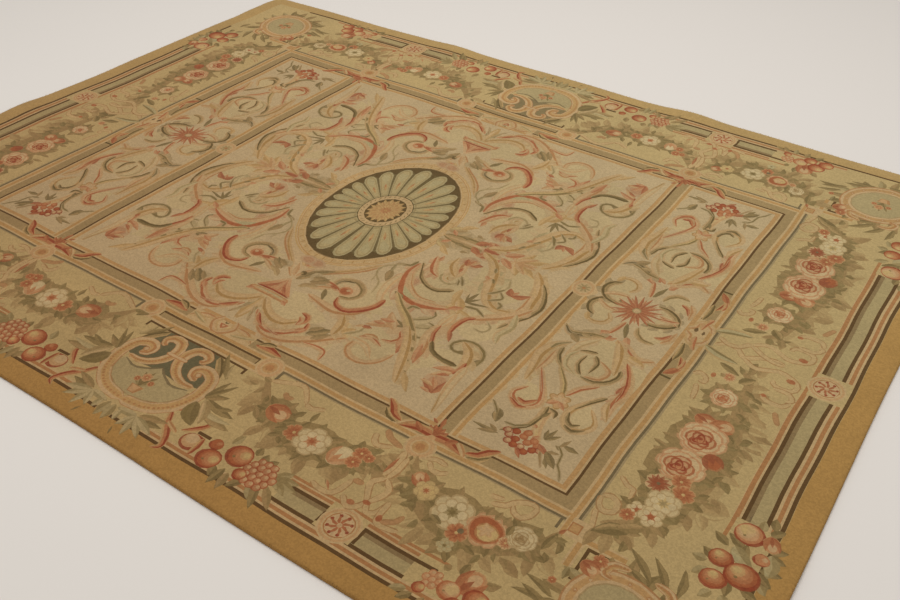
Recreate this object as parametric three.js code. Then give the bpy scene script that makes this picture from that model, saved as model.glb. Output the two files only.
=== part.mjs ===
// A room-size carpet in the Aubusson manner: one thick sheet of knotted wool pile on a woven
// foundation, with plain pile running out to all four edges. Millimetres, +Z up. The origin
// is the middle of the flat underside, +X runs along the long side and +Y along the short
// side. The far side of the carpet is +Y.
import * as THREE from "three";
import { mergeVertices } from "three/addons/utils/BufferGeometryUtils.js";

// Driving dimensions
const CARPET_LENGTH = 3550;
const CARPET_WIDTH = 2740;
const FOUNDATION = 3;
const PILE_HEIGHT = 9;
const THICKNESS = FOUNDATION + PILE_HEIGHT;

// The corners are slightly rounded where the edge cords turn.
const CORNER_RADIUS = 16;

// The pile rounds over at the edge. Each row is one line of the edge's section, from the
// underside up: how far it lies inside the outline, and its height above the underside.
const EDGE_SECTION = [
  { inset: 2.0, height: 0.0 },
  { inset: 0.0, height: 2.6 },
  { inset: 0.4, height: 7.0 },
  { inset: 2.8, height: 10.2 },
  { inset: 7.5, height: 11.7 },
];
const PILE_SHOULDER = 16;

// No hand-made carpet has straight edges. Each table walks along one side and says how far
// the edge stands out from the true rectangle there.
const FAR_EDGE = [
  { at: -1775, out: -8 },
  { at: -1440, out: -2 },
  { at: -1110, out: -6 },
  { at: -610, out: 7 },
  { at: -290, out: -2 },
  { at: 40, out: 2 },
  { at: 370, out: -7 },
  { at: 620, out: 7 },
  { at: 860, out: 0 },
  { at: 1360, out: -11 },
  { at: 1775, out: -6 },
];
const NEAR_EDGE = [
  { at: -1775, out: -4 },
  { at: -900, out: 2 },
  { at: -120, out: -3 },
  { at: 650, out: 3 },
  { at: 1775, out: -3 },
];
const RIGHT_EDGE = [
  { at: -1370, out: 3 },
  { at: -780, out: 7 },
  { at: 0, out: 0 },
  { at: 700, out: 4 },
  { at: 1370, out: -5 },
];
const LEFT_EDGE = [
  { at: -1370, out: -3 },
  { at: -700, out: 1 },
  { at: -290, out: 5 },
  { at: 160, out: -12 },
  { at: 370, out: -6 },
  { at: 860, out: -4 },
  { at: 1110, out: -10 },
  { at: 1270, out: 0 },
  { at: 1370, out: -10 },
];

// Shallow ripples, where the carpet has not settled and its underside is not quite flat.
// x and y are the middle of the ripple, alongX and alongY its reach, and lift its height.
const RIPPLES = [
  { x: -610, y: 1370, alongX: 150, alongY: 130, lift: 5 },
  { x: 620, y: 1370, alongX: 150, alongY: 120, lift: 6 },
  { x: -1775, y: 1130, alongX: 120, alongY: 110, lift: 4 },
  { x: -1775, y: -260, alongX: 150, alongY: 140, lift: 6 },
  { x: 1775, y: -760, alongX: 110, alongY: 150, lift: 3 },
];

// The edges' wander fades towards the middle with this power of the distance from it.
const WANDER_FADE = 6;

// Lines of the surface mesh: close together at the edges, where the section turns, and
// further apart over the flat middle.
const EDGE_STEPS = [0, 18, 60];
const CELLS_LONG = 30;
const CELLS_WIDE = 24;

const halfLength = CARPET_LENGTH / 2;
const halfWidth = CARPET_WIDTH / 2;

// Smooth value of an edge table at a place along its side.
function standsOut(table, along) {
  const last = table[table.length - 1];
  if (along <= table[0].at) return table[0].out;
  if (along >= last.at) return last.out;
  const next = table.findIndex((row) => row.at > along);
  const before = table[next - 1];
  const after = table[next];
  const share = (along - before.at) / (after.at - before.at);
  return before.out + (after.out - before.out) * THREE.MathUtils.smoothstep(share, 0, 1);
}

// How far the ripples raise the sheet. It is exactly nought over the whole middle, and each
// ripple is a rounded hill that ends level with the rest.
function liftAt(x, y) {
  let lift = 0;
  for (const ripple of RIPPLES) {
    const far = Math.hypot((x - ripple.x) / ripple.alongX, (y - ripple.y) / ripple.alongY);
    const hill = Math.max(0, 1 - far * far);
    lift += ripple.lift * hill * hill;
  }
  return lift;
}

// Moves a point of the true rectangle, drawn in by inset, to where the carpet has it.
function placed(x, y, inset) {
  const shareX = x / halfLength;
  const shareY = y / halfWidth;
  const nearX = Math.pow(Math.abs(shareX), WANDER_FADE);
  const nearY = Math.pow(Math.abs(shareY), WANDER_FADE);
  const outX = standsOut(x > 0 ? RIGHT_EDGE : LEFT_EDGE, y) * nearX;
  const outY = standsOut(y > 0 ? FAR_EDGE : NEAR_EDGE, x) * nearY;
  const roundX = x - Math.sign(x) * inset * nearX + Math.sign(x) * outX;
  const roundY = y - Math.sign(y) * inset * nearY + Math.sign(y) * outY;
  return cornered(roundX, roundY, x, y);
}

// Rounds off the corner: the corner point itself is drawn in along the diagonal.
function cornered(placeX, placeY, x, y) {
  const atCorner = Math.abs(x) === halfLength && Math.abs(y) === halfWidth;
  const drawIn = atCorner ? CORNER_RADIUS * (1 - Math.SQRT1_2) : 0;
  return [placeX - Math.sign(x) * drawIn, placeY - Math.sign(y) * drawIn];
}

// Places of the mesh lines across one side, from one edge to the other.
function meshLines(half, cells) {
  const inner = half - EDGE_STEPS[EDGE_STEPS.length - 1];
  const lines = [];
  for (let i = 0; i <= cells; i++) lines.push(-inner + (2 * inner * i) / cells);
  for (const step of EDGE_STEPS.slice(0, -1).reverse()) {
    lines.unshift(-half + step);
    lines.push(half - step);
  }
  return lines;
}

const linesX = meshLines(halfLength, CELLS_LONG);
const linesY = meshLines(halfWidth, CELLS_WIDE);
const lastX = linesX.length - 1;
const lastY = linesY.length - 1;

// One layer of points over the whole carpet. inset draws its rim in from the outline, and
// height says how far it lies above the underside, at the rim and further in.
function layer(inset, rimHeight, innerHeight) {
  const points = [];
  for (const y of linesY) {
    for (const x of linesX) {
      const [px, py] = placed(x, y, inset);
      const onRim = Math.abs(x) === halfLength || Math.abs(y) === halfWidth;
      points.push(new THREE.Vector3(px, py, liftAt(x, y) + (onRim ? rimHeight : innerHeight)));
    }
  }
  return points;
}

// The rim of a layer as a list of grid places, anticlockwise seen from above.
function rimPlaces() {
  const places = [];
  for (let i = 0; i < lastX; i++) places.push([i, 0]);
  for (let j = 0; j < lastY; j++) places.push([lastX, j]);
  for (let i = lastX; i > 0; i--) places.push([i, lastY]);
  for (let j = lastY; j > 0; j--) places.push([0, j]);
  return places;
}

function carpetGeometry() {
  const at = (points, i, j) => points[j * linesX.length + i];
  const triangles = [];
  const addTriangle = (a, b, c) => triangles.push(a, b, c);
  const addQuad = (a, b, c, d) => {
    addTriangle(a, b, c);
    addTriangle(a, c, d);
  };

  const underside = layer(EDGE_SECTION[0].inset, EDGE_SECTION[0].height, 0);
  const pileFace = layer(PILE_SHOULDER, THICKNESS, THICKNESS);
  for (let j = 0; j < lastY; j++) {
    for (let i = 0; i < lastX; i++) {
      const top = [[i, j], [i + 1, j], [i + 1, j + 1], [i, j + 1]].map(([a, b]) => at(pileFace, a, b));
      const bottom = [[i, j], [i, j + 1], [i + 1, j + 1], [i + 1, j]].map(([a, b]) => at(underside, a, b));
      addQuad(...top);
      addQuad(...bottom);
    }
  }

  const rim = rimPlaces();
  const rings = EDGE_SECTION.map((row) => layer(row.inset, row.height, row.height));
  rings.push(pileFace);
  for (let ring = 0; ring + 1 < rings.length; ring++) {
    rim.forEach((here, k) => {
      const next = rim[(k + 1) % rim.length];
      addQuad(
        at(rings[ring], ...here),
        at(rings[ring], ...next),
        at(rings[ring + 1], ...next),
        at(rings[ring + 1], ...here),
      );
    });
  }

  const geometry = new THREE.BufferGeometry().setFromPoints(triangles);
  const merged = mergeVertices(geometry, 1e-3);
  merged.computeVertexNormals();
  return merged;
}

const wool = new THREE.MeshStandardMaterial({ color: 0xb99a5c, roughness: 0.95, metalness: 0 });

const carpet = new THREE.Mesh(carpetGeometry(), wool);
carpet.name = "knotted_carpet";

const group = new THREE.Group();
group.add(carpet);

export default group;
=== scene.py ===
# %% [markdown]
# # A room-size carpet in the Aubusson manner
# The real carpet is one sheet of knotted wool: a thin woven foundation, and a cut pile whose
# knots carry the pattern. Nothing on it is sewn or glued, so the whole look lies in three
# things: the drawing of the pattern, the rounded pile at the edges, and the wool itself.
# The pattern is drawn here as flat patches of wool, one over another, like cut paper. All
# patches are then cut into one mesh, so that each outline is a real edge in the mesh and no
# image is needed.

# %% Load the model
import math
import random

import bpy
import numpy as np
from mathutils import Matrix, Vector
from mathutils.geometry import delaunay_2d_cdt


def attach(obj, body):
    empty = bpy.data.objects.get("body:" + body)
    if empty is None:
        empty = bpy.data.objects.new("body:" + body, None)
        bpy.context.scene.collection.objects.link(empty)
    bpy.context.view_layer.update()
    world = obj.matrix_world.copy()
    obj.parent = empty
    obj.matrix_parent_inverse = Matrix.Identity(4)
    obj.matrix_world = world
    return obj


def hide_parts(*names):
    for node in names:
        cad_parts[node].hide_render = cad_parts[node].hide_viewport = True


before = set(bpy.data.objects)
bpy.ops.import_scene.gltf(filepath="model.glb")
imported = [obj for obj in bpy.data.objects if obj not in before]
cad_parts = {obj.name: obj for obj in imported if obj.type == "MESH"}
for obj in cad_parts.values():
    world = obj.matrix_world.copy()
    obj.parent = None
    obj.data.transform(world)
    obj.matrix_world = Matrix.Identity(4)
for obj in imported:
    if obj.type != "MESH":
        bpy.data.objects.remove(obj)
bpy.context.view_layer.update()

# %% [markdown]
# ## Wools
# A dyer would know the carpet by some thirty skeins: beiges for the grounds, gold for the
# plain edge, olives for leaves and bands, rust and rose for flowers and ribbons. Each skein
# gets a name. The numbers are screen colours, and Blender wants them linear, so one helper
# converts them once.

# %% Name the wools
def skein(red, green, blue):
    """A screen colour as the linear colour that Blender works in."""
    levels = np.array([red, green, blue]) / 255
    return tuple(np.where(levels <= 0.04045, levels / 12.92, ((levels + 0.055) / 1.055) ** 2.4))


FIELD_BEIGE = skein(172, 148, 111)
FIELD_WASH = skein(173, 150, 109)
BORDER_CREAM = skein(170, 145, 99)
EDGE_GOLD = skein(159, 121, 68)
CREAM = skein(175, 146, 104)
LINE_GOLD = skein(165, 127, 79)
LINE_PEACH = skein(166, 128, 82)
LINE_DARK = skein(90, 66, 38)
BAND_OLIVE = skein(146, 121, 82)
BAND_SAGE = skein(155, 135, 94)
BAND_BROWN = skein(128, 105, 71)
BLUE_DARK = skein(108, 92, 64)
BLUE_PALE = skein(147, 126, 90)
GROUND_BLUE = skein(88, 84, 60)
FLUTE_PALE = skein(161, 142, 100)
FLUTE_LINE = skein(98, 82, 50)
BROWN_GROUND = skein(93, 74, 44)
RUST = skein(149, 86, 53)
BRICK = skein(130, 60, 38)
PEACH = skein(172, 135, 93)
PEACH_EDGE = skein(155, 109, 68)
PEACH_LIGHT = skein(177, 147, 107)
GOLD = skein(172, 138, 88)
GOLD_EDGE = skein(148, 113, 66)
ROSE_PALE = skein(178, 145, 104)
ROSE = skein(167, 114, 76)
OLIVE_DARK = skein(92, 75, 44)
OLIVE = skein(115, 96, 58)
OLIVE_LIGHT = skein(143, 122, 82)
LEAF_BROWN = skein(136, 108, 70)
LEAF_TAN = skein(154, 126, 84)
SAGE_LIGHT = skein(160, 144, 104)
PETAL_WHITE = skein(184, 162, 121)
STRAW = skein(178, 149, 98)

# A motif is worked in three wools: its dark edge, its body and its lit side.
PEACH_SET = (PEACH_EDGE, PEACH, PEACH_LIGHT)
PALE_SET = (PEACH, PEACH_LIGHT, FIELD_WASH)
GOLD_SET = (GOLD_EDGE, GOLD, PEACH_LIGHT)
RUST_SET = (RUST, ROSE, PEACH_LIGHT)
BRICK_SET = (BRICK, RUST, ROSE)
DARK_SET = (OLIVE_DARK, OLIVE, OLIVE)
OLIVE_SET = (OLIVE_DARK, OLIVE, LEAF_TAN)
MIST_SET = (OLIVE_LIGHT, SAGE_LIGHT, FIELD_WASH)
SAGE_SET = (OLIVE, OLIVE_LIGHT, SAGE_LIGHT)
SHADE_SET = (OLIVE, LEAF_BROWN, LEAF_TAN)
FADED_SET = (LEAF_BROWN, LEAF_TAN, BORDER_CREAM)

# %% [markdown]
# ## Laying patches
# A patch is an outline in millimetres and the wool that fills it. Patches are kept in the
# order in which they are laid, and a later one hides what is under it. The design repeats in
# the four quarters of the carpet, so the pen has a mirror: each motif is written once, with
# both coordinates counted from the middle outwards.

# %% Lay a patch of wool
patches = []
mirror = [1, 1]
ground = [FIELD_BEIGE]
dice = random.Random(11)
HAND = 0.03  # how far one hand-dyed patch strays from its skein


def lay(outline, wool, stray=HAND):
    """Lays a patch over what is there. A wool may also be a blend, made by blended()."""
    shade = 1 + dice.uniform(-stray, stray)
    patches.append((np.array(outline, float) * mirror, wool, tuple(mirror), shade))


def blended(start_wool, end_wool, start, end):
    """A wool that changes evenly from one place to another."""
    return ("blend", start_wool, end_wool, start, end)


def between(first, second, share=0.5):
    """The wool between two others."""
    return tuple(np.array(first) * (1 - share) + np.array(second) * share)


def block(near_x, far_x, near_y, far_y, wool):
    """A straight bar, measured from the middle of the carpet."""
    lay([(near_x, near_y), (far_x, near_y), (far_x, far_y), (near_x, far_y)], wool, 0)


def in_quarters(draw):
    """Draws one motif in all four quarters."""
    for sign_x, sign_y in ((1, -1), (-1, -1), (-1, 1), (1, 1)):
        mirror[:] = sign_x, sign_y
        draw()
    mirror[:] = 1, 1


def on_both_sides(draw):
    """Draws one motif to the right and to the left of the middle."""
    for sign in (1, -1):
        mirror[:] = sign, 1
        draw()
    mirror[:] = 1, 1


print("the wool between olive and cream:", np.round(between(OLIVE, CREAM), 3))

# %% [markdown]
# ## Scrolls, leaves and petals
# Nearly every motif is a stroke of a loaded brush: thin at one end, full in the middle, and
# shaded along one side. A smooth line through a few set points gives its path, and a width
# along that path gives its outline. A scroll is a few such outlines on top of each other: a
# soft peach glow on its lit side, the body, a dark edge on its shaded side, and on a wide
# scroll also a light.

# %% Brush strokes
def towards(angle):
    """One step in a direction."""
    return np.array([math.cos(angle), math.sin(angle)])


def sideways(way):
    """The direction a quarter turn to the left of another one."""
    return np.array([-way[1], way[0]])


def flowing(points, per_span=4, closed=False):
    """A smooth line through a few points."""
    p = np.array(points, float)
    if closed:
        p = np.vstack([p[-1:], p, p[:2]])
    else:
        p = np.vstack([2 * p[0] - p[1], p, 2 * p[-1] - p[-2]])
    t = np.linspace(0, 1, per_span, endpoint=False)[:, None]
    spans = []
    for a, b, c, d in zip(p, p[1:], p[2:], p[3:]):
        bend = (2 * a - 5 * b + 4 * c - d) * t**2 + (3 * b - a - 3 * c + d) * t**3
        spans.append(0.5 * (2 * b + (c - a) * t + bend))
    if not closed:
        spans.append(p[-2:-1])
    return np.vstack(spans)


ROUND_END = 7.0  # millimetres over which the end of a stroke is rounded
WIDE_SCROLL = 13  # a scroll of this width also gets a light


def stroke(points, start, end, belly=0, shift=0.0, share=1.0):
    """The outline of a brush stroke. start and end are its widths there, belly what it gains
    in the middle. share narrows it, and shift sets it towards one side of the full stroke."""
    line = flowing(points)
    step = np.gradient(line, axis=0)
    across = np.stack([-step[:, 1], step[:, 0]], 1)
    across /= np.linalg.norm(across, axis=1)[:, None] + 1e-9
    t = np.linspace(0, 1, len(line))[:, None]
    gone = np.cumsum(np.linalg.norm(step, axis=1))[:, None]
    from_end = np.minimum(gone - gone[0], gone[-1] - gone)
    rounding = np.sqrt(np.clip(from_end / ROUND_END + 0.12, 0, 1))
    half = (start + (end - start) * t + belly * np.sin(np.pi * t)) / 2 * rounding
    middle = line + across * half * shift
    half = half * share
    return np.vstack([middle + across * half, (middle - across * half)[::-1]])


def scroll(points, start, end, belly, wools, lean=1):
    """A shaded scroll. lean says on which side of its path the light falls."""
    edge, body, light = wools
    body = between(body, light, 0.35)
    slim = belly * 0.85
    wide = max(start, end) + belly > WIDE_SCROLL
    glow = stroke(points, start + 9, end + 7, belly, 0.14 * lean)
    lay(glow, between(ground[0], LINE_PEACH, 0.55))
    lay(stroke(points, start + 2, end + 1, slim), between(ground[0], body, 0.85))
    share = 0.4 if wide else 0.6
    shaded = stroke(points, start * 0.8 + 2, end * 0.8 + 2, slim, -0.5 * lean, share)
    lay(shaded, between(edge, body, 0.1))
    if wide:
        lit = stroke(points, start * 0.5, end * 0.5, belly * 0.9, 0.45 * lean, 0.34)
        lay(lit, between(body, light, 0.7))


def acanthus(points, start, end, belly, wools, lean=1, lobes=5, reach=1.0):
    """A scroll with the soft lobes of a leaf along its shaded side."""
    line = flowing(points, 6)
    step = np.gradient(line, axis=0)
    soft = [between(ground[0], wool, 0.55) for wool in wools]
    for k in range(lobes):
        share = (k + 0.5) / lobes
        at = int(share * (len(line) - 1))
        way = step[at] / (np.linalg.norm(step[at]) + 1e-9)
        out = -sideways(way) * lean
        half = (start + (end - start) * share + belly * math.sin(math.pi * share)) / 2 + 4
        tip = line[at] + out * half * (1 + 1.1 * reach) + way * half * 2.6
        leaf(line[at] - out * half * 0.4, tip, half * 2.2, soft, -3 * lean)
    scroll(points, start, end, belly, wools, lean)


def haze(centre, across, along, wool, turn=0.0):
    """A soft cloud of colour under a cluster of leaves."""
    for size, share in ((1.0, 0.25), (0.66, 0.5)):
        cloud = flowing(oval(centre, across * size, along * size, 8, turn, 0.08), 2, True)
        lay(cloud, between(ground[0], wool, share))


def vine(points, width, wool):
    """A thin line of even width."""
    lay(stroke(points, width + 5, width + 5), between(ground[0], wool, 0.35))
    lay(stroke(points, width * 0.75, width * 0.75), wool)


# %% [markdown]
# Leaves and petals come in hundreds, so their outlines are plainer. A leaf needs seven places
# along its middle, with its width at each of them. A petal is an oval of a few sides.

# %% Leaves and petals
LEAF_STEPS = np.array([0, 0.12, 0.3, 0.5, 0.7, 0.88, 1.0])
LEAF_FAT = np.array([0.12, 0.62, 0.95, 1.0, 0.78, 0.42, 0.0])
VEINED_LEAF = 30  # a wider leaf gets a vein


def leaf(base, tip, width, wools, bend=0.0):
    """A pointed leaf with a shaded and a lit half. A wide one also gets a vein."""
    edge, body, light = wools
    base = np.array(base, float)
    along = np.array(tip, float) - base
    across = np.array([-along[1], along[0]]) / (np.linalg.norm(along) + 1e-9)
    middle = base + LEAF_STEPS[:, None] * along
    middle = middle + np.sin(np.pi * LEAF_STEPS)[:, None] * across * bend
    half = LEAF_FAT[:, None] * across * width / 2
    shaded = between(between(edge, body, 0.4), ground[0], 0.12)
    lit = between(between(body, light, 0.3), ground[0], 0.12)
    lay(np.vstack([middle + half, (middle - half)[-2::-1]]), shaded)
    lay(np.vstack([middle[:-1] - half[:-1] * 0.1, (middle + half * 0.86)[-2::-1]]), lit)
    if width > VEINED_LEAF:
        lay(np.vstack([middle[1:-1] + half[1:-1] * 0.35, (middle + half * 0.75)[-2:0:-1]]), light)


def oval(centre, across, along, sides=12, turn=0.0, wobble=0.0):
    """Points round an oval. wobble makes it a little lumpy."""
    points = []
    cos_turn, sin_turn = math.cos(turn), math.sin(turn)
    for k in range(sides):
        angle = 2 * math.pi * k / sides
        swell = 1 + wobble * math.sin(3 * angle + centre[0])
        x, y = across * math.cos(angle) * swell, along * math.sin(angle) * swell
        points.append((
            centre[0] + x * cos_turn - y * sin_turn,
            centre[1] + x * sin_turn + y * cos_turn,
        ))
    return points


def petal_ring(centre, inner, outer, count, width, wool, turn=0.0):
    """Round petals about a centre."""
    for k in range(count):
        angle = turn + 2 * math.pi * k / count
        middle = (inner + outer) / 2
        place = (centre[0] + middle * math.cos(angle), centre[1] + middle * math.sin(angle))
        lay(oval(place, (outer - inner) / 2, width / 2, 8, angle), wool)


def rays(centre, inner, outer, count, width, wools, turn=0.0):
    """Pointed leaves about a centre."""
    for k in range(count):
        way = towards(turn + 2 * math.pi * k / count)
        leaf(np.array(centre) + way * inner, np.array(centre) + way * outer, width, wools)


def ring(centre, radius_x, radius_y, wool, sides=40):
    """A plain oval in the wool's own shade."""
    lay(oval(centre, radius_x, radius_y, sides), wool, 0)


# %% [markdown]
# ## Bands
# The ground comes first. Straight bands of gold, cream, dark brown and olive frame the middle
# panel, the two side panels and the border. Nested rectangles do this with no joints at all:
# each is laid on the one before and leaves only its rim to be seen.

# %% Frames of the panels
def frame_lines(rows):
    """Nested rectangles. A row is half the length, half the width and the wool."""
    for half_x, half_y, wool in rows:
        block(-half_x, half_x, -half_y, half_y, wool)


def parting_bands():
    """The middle panel is parted from the side panels by the same bands."""
    for near, far, wool in (
        (776, 789, LINE_PEACH),
        (789, 796, CREAM),
        (796, 804, LINE_DARK),
        (804, 838, BAND_OLIVE),
        (838, 845, CREAM),
        (845, 857, LINE_GOLD),
        (857, 864, CREAM),
    ):
        block(near, far, -806, 806, wool)


frame_lines([
    (1703, 1298, BORDER_CREAM),
    (1283, 892, BLUE_PALE),
    (1277, 888, BLUE_DARK),
    (1269, 881, CREAM),
    (1262, 875, LINE_GOLD),
    (1249, 862, CREAM),
    (1241, 855, BAND_OLIVE),
    (1208, 820, LINE_DARK),
    (1200, 813, CREAM),
    (1194, 806, LINE_PEACH),
    (1179, 793, FIELD_BEIGE),
])
on_both_sides(parting_bands)
print("patches after the bands:", len(patches))

# %% [markdown]
# ## The medallion
# An oval boss of twenty-four shell flutes, inside a beaded frame. The flutes are spaced so
# that they look even along the oval, which means that their angles are not even: they are
# closer together where the oval is tight.

# %% Flutes of the boss
FLUTES_A_QUARTER = 6
BOSS_OUT = np.array([234, 343])
BOSS_IN = np.array([88, 111])


def boss_point(angle, out):
    """A place on the boss: out is 0 on its inner ring and 1 at its rim."""
    reach = BOSS_IN * (1 - out) + BOSS_OUT * out
    return reach * (math.cos(angle), math.sin(angle))


def flute_angle(k):
    """Where flute k of a quarter starts."""
    share = k / FLUTES_A_QUARTER
    return math.pi / 2 * (0.6 * share + 0.4 * share**2)


def flute(start, end):
    """A round-headed flute: smaller and smaller shells, and a gold leaf at its root."""
    def shell(trim_start, trim_end, low, shoulder, high, wool):
        left = start + (end - start) * trim_start
        right = end - (end - start) * trim_end
        rim = [(left, low), (left, shoulder * 0.6)]
        for step in range(7):
            share = step / 6
            swell = math.sin(math.pi * share) ** 0.6
            rim.append((left + (right - left) * share, shoulder + (high - shoulder) * swell))
        rim += [(right, shoulder * 0.6), (right, low)]
        lay([boss_point(angle, out) for angle, out in rim], wool)

    shell(0.0, 0.0, 0.0, 0.80, 0.985, FLUTE_LINE)
    shell(0.03, 0.12, 0.02, 0.79, 0.965, SAGE_LIGHT)
    shell(0.10, 0.20, 0.04, 0.76, 0.93, OLIVE_LIGHT)
    shell(0.17, 0.26, 0.08, 0.74, 0.90, FLUTE_PALE)
    shell(0.30, 0.42, 0.5, 0.74, 0.86, SAGE_LIGHT)
    middle = (start + end) / 2
    leaf(boss_point(middle, 0.22), boss_point(middle, 0.50), 13, (PEACH_EDGE, GOLD, STRAW))
    leaf(boss_point(middle, 0.36), boss_point(middle, 0.48), 8, (RUST, PEACH_EDGE, PEACH))


print("flutes in all:", 4 * FLUTES_A_QUARTER)

# %% [markdown]
# The frame of the medallion runs out to a point at each end of the oval, with a leaf folded
# over it on two of the four sides. Rings and beads follow from the outside inwards.

# %% The pointed frame
def pointed_end():
    """The point at the end of the oval, with a peach scroll and a gold one along it."""
    lay(
        [(-1, 350), (206, 285), (176, 345), (130, 392), (84, 424), (52, 462), (24, 500), (-1, 514)],
        between(PEACH_LIGHT, FIELD_BEIGE),
    )
    scroll([(222, 262), (184, 338), (134, 390), (84, 428), (52, 466), (10, 510)], 5, 5, 5, PEACH_SET, 1)
    scroll([(204, 282), (160, 350), (112, 396), (70, 430), (40, 466)], 3, 3, 6, GOLD_SET, 1)
    leaf((8, 440), (40, 380), 26, GOLD_SET)
    leaf((2, 436), (8, 384), 22, RUST_SET)
    leaf((4, 500), (34, 430), 20, PEACH_SET)


def folded_leaf():
    """Only two of the four quarters have it, across from each other."""
    leaf((16, 512), (104, 400), 34, SHADE_SET, -10)
    leaf((30, 488), (96, 408), 16, OLIVE_SET, -6)
    lay(oval((16, 470), 12, 13, 10), OLIVE_DARK)
    lay(oval((13, 474), 6, 6, 8), LEAF_TAN)
    leaf((10, 400), (24, 384), 14, BRICK_SET)


ground[0] = FIELD_BEIGE
in_quarters(pointed_end)
for signs in ((1, -1), (-1, 1)):
    mirror[:] = signs
    folded_leaf()
mirror[:] = 1, 1
print("patches after the pointed frame:", len(patches))

# %% [markdown]
# Each ring is a little smaller than the one before, so that only a narrow line of that one
# stays. Beads and twisted strokes follow the same ovals, and the flutes fill the boss.

# %% Rings, beads and flutes
BEADS = 96
TWISTS = 30
RAYS = 16

for across, along, wool in (
    (280, 391, GOLD), (275, 386, PEACH_LIGHT), (271, 382, LINE_GOLD),
    (268, 378, between(CREAM, GOLD, 0.4)),
    (249, 360, GOLD), (246, 357, CREAM), (241, 352, LEAF_BROWN), (238, 349, BROWN_GROUND),
):
    ring((0, 0), across, along, wool, 96)
for k in range(BEADS):
    start = towards(2 * math.pi * k / BEADS) * (267, 377)
    lay(stroke([start, start * 0.97, start * 0.94], 5, 5), GOLD_EDGE if k % 2 else CREAM)
in_quarters(lambda: [flute(flute_angle(k), flute_angle(k + 1)) for k in range(FLUTES_A_QUARTER)])
ring((0, 0), 92, 115, FLUTE_LINE, 40)
ring((0, 0), 89, 111, CREAM, 40)
for k in range(TWISTS):
    angle = 2 * math.pi * k / TWISTS
    start = towards(angle) * (85, 107)
    end = towards(angle + 0.12) * (75, 95)
    lay(stroke([start, (start + end) / 2, end], 5, 5), OLIVE)
ring((0, 0), 72, 91, CREAM, 40)
ring((0, 0), 68, 87, BROWN_GROUND, 40)
for turn, reach, width, wools in (
    (0.0, 1.0, 24, (GOLD_EDGE, GOLD, STRAW)),
    (0.5, 0.84, 19, (PEACH_EDGE, LINE_GOLD, STRAW)),
    (0.0, 0.56, 13, (PEACH_EDGE, GOLD, STRAW)),
):
    for k in range(RAYS):
        tip = towards(2 * math.pi * (k + turn) / RAYS) * (67 * reach, 86 * reach)
        leaf((0, 0), tip, width, wools)
rays((0, 0), 1, 22, 10, 9, (RUST, PEACH_EDGE, GOLD))
ring((0, 0), 6, 7, LINE_GOLD, 8)
print("patches after the medallion:", len(patches))

# %% [markdown]
# ## Scrolls of the middle panel
# The beige panel is filled with open scrolls in peach, rust and olive. Their paths are given for
# one quarter, in millimetres from the middle of the carpet, and the mirror makes the
# other three. Washes of a paler beige lie under them, as if light fell on the leaves.

# %% Middle panel, washes and middle lines
def washes():
    """Paler beige under the scrolls, and clouds of colour under the clusters of leaves."""
    for place, across, along, turn in (
        ((410, 250), 105, 120, 0.5), ((600, 120), 110, 120, 0.2), ((195, 470), 90, 76, 0.0),
        ((690, 510), 70, 80, 0.0),
        ((430, 640), 90, 80, 0.4), ((120, 650), 130, 78, 0.2), ((560, 560), 70, 110, -0.5),
        ((310, 420), 44, 120, -0.2),
        ((660, 350), 80, 80, 0.0), ((250, 740), 110, 40, -0.4),
    ):
        lay(flowing(oval(place, across, along, 12, turn), 2, True), FIELD_WASH)
    for place, across, along, wool, turn in (
        ((590, 14), 78, 44, GOLD, 0.0), ((468, 26), 52, 34, RUST, 0.1), ((706, 70), 26, 74, GOLD, -0.4),
        ((536, 336), 52, 40, GOLD, 0.5),
        ((328, 640), 30, 56, GOLD, 0.0), ((262, 690), 50, 34, OLIVE, 0.6),
        ((440, 520), 60, 42, PEACH, 0.5), ((336, 320), 26, 76, RUST, 0.4),
        ((690, 660), 44, 46, RUST, 0.3), ((90, 470), 50, 26, OLIVE, 0.3),
        ((440, 100), 40, 34, RUST, 0.0), ((322, 28), 62, 40, OLIVE, 0.1),
        ((20, 400), 34, 26, RUST, 0.0), ((120, 712), 90, 30, GOLD, 0.1),
        ((556, 150), 28, 110, GOLD, 0.3), ((570, 470), 24, 110, PEACH, 0.2),
    ):
        haze(place, across, along, wool, turn)


def basket():
    """The fan of red leaves in a dish, on the carpet's short middle line."""
    lay(
        [(-1, 512), (12, 526), (36, 560), (70, 600), (-1, 600)],
        blended(PEACH_LIGHT, ROSE, (4, 520), (54, 596)),
    )
    for x in (2, 16, 30, 44):
        leaf((x * 0.25, 526 + x), (x + 8, 600), 12, RUST_SET if x < 30 else BRICK_SET)
    lay(stroke([(-14, 600), (36, 602), (72, 605)], 8, 6), BRICK)
    lay(stroke([(-14, 620), (44, 622), (84, 624)], 28, 22), PEACH_EDGE)
    lay(stroke([(-14, 618), (44, 620), (76, 622)], 18, 12), PEACH)
    lay(stroke([(-14, 617), (40, 618), (60, 620)], 8, 5), SAGE_LIGHT)
    leaf((62, 626), (88, 640), 18, RUST_SET)
    leaf((0, 642), (4, 780), 36, GOLD_SET)
    leaf((6, 660), (30, 760), 16, SAGE_SET)
    vine([(14, 712), (30, 735), (42, 768)], 4, LEAF_BROWN)


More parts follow.
